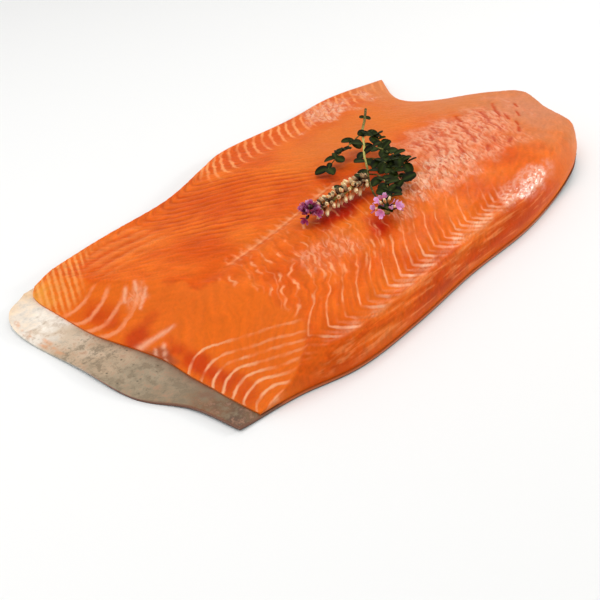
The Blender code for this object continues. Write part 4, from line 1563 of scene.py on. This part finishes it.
        for path, _ in self.stems[1:1 + len(self.twigs)]:
            for _ in range(self.fork_leaves):
                origin, _ = self.along_path(path, draw(0.25, 1.0))
                self.place(Organ.LEAF, origin, around(0.5), UP, draw(0.45, 0.8),
                           rng.randrange(kinds))
        for _ in range(self.dark_cups):
            origin, heading = self.along_path(spike, draw(0.02, 0.95))
            out = around(0.9)
            self.place(Organ.CALYX, origin + 0.6 * MM * out.normalized(), out + heading * 200,
                       UP, draw(0.6, 0.9), tint=draw(-0.9, 0.7))
        for middle, (count, reach, low) in zip((spike[-1], head), self.buds):
            for _ in range(count):
                out = around(1.0).normalized()
                self.place(Organ.PETAL, middle + out * draw(1.5, reach) * MM, out,
                           around(1.0), draw(0.6, 1.0), tint=low + draw(0, 0.8))
        for _ in range(self.head_leaves):
            self.place(Organ.LEAF, head, around(0.8), UP, draw(0.5, 0.7), rng.randrange(kinds))
        for share, size in self.spike_leaves:
            origin, _ = self.along_path(spike, share)
            self.place(Organ.LEAF, origin + 2.5 * MM * UP, Vector((-0.6, 0.5, 0.35)), UP, size, 1,
                       tint=1.0)

    def stem_tree(self) -> Growth:
        """The tree that draws a round stem along each path."""
        growth = Growth("thyme_stems", ("Sides", "Gnarl Height", "Gnarl Size"))
        node, given = growth.node, growth.given
        curve = node("GeometryNodeMeshToCurve", {"Mesh": given["Geometry"]})
        ring = node("GeometryNodeCurvePrimitiveCircle",
                    {"Resolution": given["Sides"], "Radius": 1.0})
        tube = node("GeometryNodeCurveToMesh",
                    {"Curve": curve, "Profile Curve": ring, "Scale": node(MARK, {"Name": "radius"}),
                     "Fill Caps": True})
        rough = node("TexNoise", {"Scale": given["Gnarl Size"]})
        rough = node("Math", (rough, 0.5), operation="SUBTRACT")
        rough = node("Math", (rough, given["Gnarl Height"]), operation="MULTIPLY")
        out = node("GeometryNodeInputNormal")
        growth.close(tube, node("VectorMath", {0: out, "Scale": rough}, operation="SCALE"))
        return growth

    def part_tree(self) -> Growth:
        """The tree that sets the right shape at each place where a part grows."""
        growth = Growth("thyme_parts", ("Twist",), ("Shapes",))
        node, given = growth.node, growth.given
        shapes = node("GeometryNodeCollectionInfo",
                      {"Collection": given["Shapes"], "Separate Children": True,
                       "Reset Children": True})
        twist = node("FunctionNodeRandomValue", {2: -1.0, 3: 1.0, "Seed": self.seed}, out=1,
                     data_type="FLOAT")
        twist = node("Math", (twist, given["Twist"]), operation="MULTIPLY")
        turned, size = (node(MARK, {"Name": name}, data_type="FLOAT_VECTOR")
                        for name in ("turn", "size"))
        turn, extra = (node("FunctionNodeEulerToRotation", (euler,))
                       for euler in (turned, node("CombineXYZ", {"X": twist})))
        wrung = node("FunctionNodeRotateRotation", {"Rotation": turn, "Rotate By": extra},
                     rotation_space="LOCAL")
        growth.close(node("GeometryNodeInstanceOnPoints", {
            "Points": given["Geometry"], "Instance": shapes, "Pick Instance": True,
            "Instance Index": node("FunctionNodeFloatToInt", (node(MARK, {"Name": "kind"}),)),
            "Rotation": wrung, "Scale": size}))
        return growth

    def stem_mesh(self) -> Mesh:
        """The stems' paths as edges, with their radius and tint."""
        points, edges, radii, tints = [], [], [], []
        for path, radius in self.stems:
            edges += [(len(points) + i, len(points) + i + 1) for i in range(len(path) - 1)]
            points += [tuple(p) for p in path]
            share = np.linspace(0, 1, len(path))
            radii.append(radius * (1 - 0.4 * share))
            pale = 1.1 if radius > 0.7 * MM else 0.3
            tints.append(pale * bell((share - 0.42) / 0.2) - 0.05)
        made = bpy.data.meshes.new("thyme_paths")
        made.from_pydata(points, edges, [])
        mark(made, radius=np.concatenate(radii), tint=np.concatenate(tints))
        return made

    def parts(self, growth: Growth, organ: Organ, finish: PlantFinish) -> Object:
        """All the parts of one organ.

        Args:
            growth: The tree that sets them.
            organ: What they are.
            finish: What they are made of.

        Returns:
            One object of them all.
        """
        shelf = bpy.data.collections.new("thyme_" + organ.value)
        for i, shape in enumerate(self.shapes[organ]):
            name = f"thyme_{organ.value}_{i}"
            shelf.objects.link(bpy.data.objects.new(name, shape.mesh(name)))
        places, *marks = zip(*self.grown[organ])
        base = bpy.data.meshes.new(organ.value + "_places")
        base.from_pydata(places, [], [])
        mark(base, **{name: np.array(values, float)
                      for name, values in zip(("turn", "size", "kind", "tint"), marks)})
        return growth.grow("thyme_" + organ.value + "s", base, finish.material(),
                           {"Twist": 0.15 if organ is Organ.LEAF else 0.0, "Shapes": shelf})

    def build(self) -> Object:
        """Build and dress the thyme."""
        self.lay_out()
        # Fresh leaves look dull and very dark, with a paler midrib. The cups are thin and ribbed,
        # from brown at the foot to cream at their teeth. Petals are thin, so they glow pink.
        finishes = {
            Organ.LEAF: PlantFinish("fresh_thyme_leaf", "#040600", "#1F2703", "#5E742E", 1.2,
                                    0.6, 1.5),
            Organ.CALYX: PlantFinish("thyme_calyx", "#38140A", "#DC8444", "#FFE6B4", 0.45, 0.6,
                                     0.9, glow=0.15),
            Organ.PETAL: PlantFinish("thyme_petal", "#94205C", "#DC8CC0", "#ECB4DC", 0.6, 0.5,
                                     1.0, glow=0.2)}
        tree = self.part_tree()
        pieces = [self.parts(tree, organ, finish) for organ, finish in finishes.items()]
        # The young stems look pale and smooth, and browner where their tint is low.
        wood = PlantFinish("thyme_stem", "#443A12", "#C8BE68", "#C9CE98", 1.2, 0.5, 1.2)
        made = self.stem_tree().grow("thyme", self.stem_mesh(), wood.material(), {
            "Sides": 9, "Gnarl Height": 0.3 * MM, "Gnarl Size": 1 / (2 * MM)})
        pieces.append(made)
        with bpy.context.temp_override(active_object=made, object=made, selected_objects=pieces,
                                       selected_editable_objects=pieces):
            bpy.ops.object.join()
        low = min(v.co.z - self.height(v.co.x, v.co.y) for v in made.data.vertices)
        made.data.transform(Matrix.Translation((0, 0, self.gap * MM - low)))
        hand_over(made, Node.SPRIG)
        return made


@dataclass
class Studio:
    """A plain pale floor, soft light and the camera."""

    camera_at: Point = (-306.908, -253.790, 255.0)
    forward: Point = (0.57351, 0.52838, -0.62602)
    up: Point = (0.49024, 0.39087, 0.77903)
    lens: float = 47.45
    sensor: float = 36.0
    floor_size: float = 6000.0
    # Each light: its place, its size, its power in watts and its colour.
    lights: tuple = (((-150, 100, 900), 900, 3.4, "#FFFFFF"),
                     ((865, -545, 412), 170, 3.2, "#FFFDF8"),
                     ((706, 190, 676), 150, 0.7, "#FFFFFF"),
                     ((-700, 300, 500), 700, 1.0, "#FFFFFF"))

    def floor(self) -> None:
        """The floor that the side lies on: matt white, so it shows soft shadows and no gloss."""
        half = self.floor_size * MM / 2
        mesh = bpy.data.meshes.new("floor")
        mesh.from_pydata([(-half, -half, 0), (half, -half, 0), (half, half, 0), (-half, half, 0)],
                         [], [(0, 1, 2, 3)])
        mesh.materials.append(Paint("matt_white_floor").close({"Base Color": "#F4F4F3",
                                                               "Roughness": 0.7}))
        made = bpy.data.objects.new("floor", mesh)
        bpy.context.scene.collection.objects.link(made)

    def build(self) -> None:
        """Set up the floor, the lights, the sky and the camera."""
        self.floor()
        scene = bpy.context.scene
        for i, (place, size, power, colour) in enumerate(self.lights):
            lamp = bpy.data.lights.new(f"soft_light_{i}", "AREA")
            lamp.shape, lamp.size, lamp.energy = "DISK", size * MM, power
            lamp.color = linear(colour)[:3]
            made = bpy.data.objects.new(lamp.name, lamp)
            at = Vector(place) * MM
            turn = (-at).to_track_quat("-Z", "Y").to_matrix().to_4x4()
            made.matrix_world = Matrix.Translation(at) @ turn
            scene.collection.objects.link(made)
        scene.world = bpy.data.worlds.new("soft_sky")
        scene.world.use_nodes = True
        feed(scene.world.node_tree.nodes["Background"], {"Color": "#FFFFFF", "Strength": 0.6})
        scene.view_settings.view_transform = "Standard"
        camera = bpy.data.cameras.new("camera")
        camera.lens, camera.sensor_width, camera.clip_start = self.lens, self.sensor, 0.01
        made = bpy.data.objects.new("camera", camera)
        back, up = -Vector(self.forward).normalized(), Vector(self.up).normalized()
        right = up.cross(back).normalized()
        turn = Matrix((right, back.cross(right), back)).transposed().to_4x4()
        made.matrix_world = Matrix.Translation(Vector(self.camera_at) * MM) @ turn
        scene.collection.objects.link(made)
        scene.camera = made


def main() -> None:
    """Build the studio, the side and the thyme, and write down the sizes."""
    logging.basicConfig(level=logging.INFO, format="%(message)s")
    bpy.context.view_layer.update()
    Studio().build()
    form = SideForm()
    for part in (Flesh(form), Skin(form), Sprig(form)):
        part.build()
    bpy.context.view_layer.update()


if __name__ == "__main__":
    main()
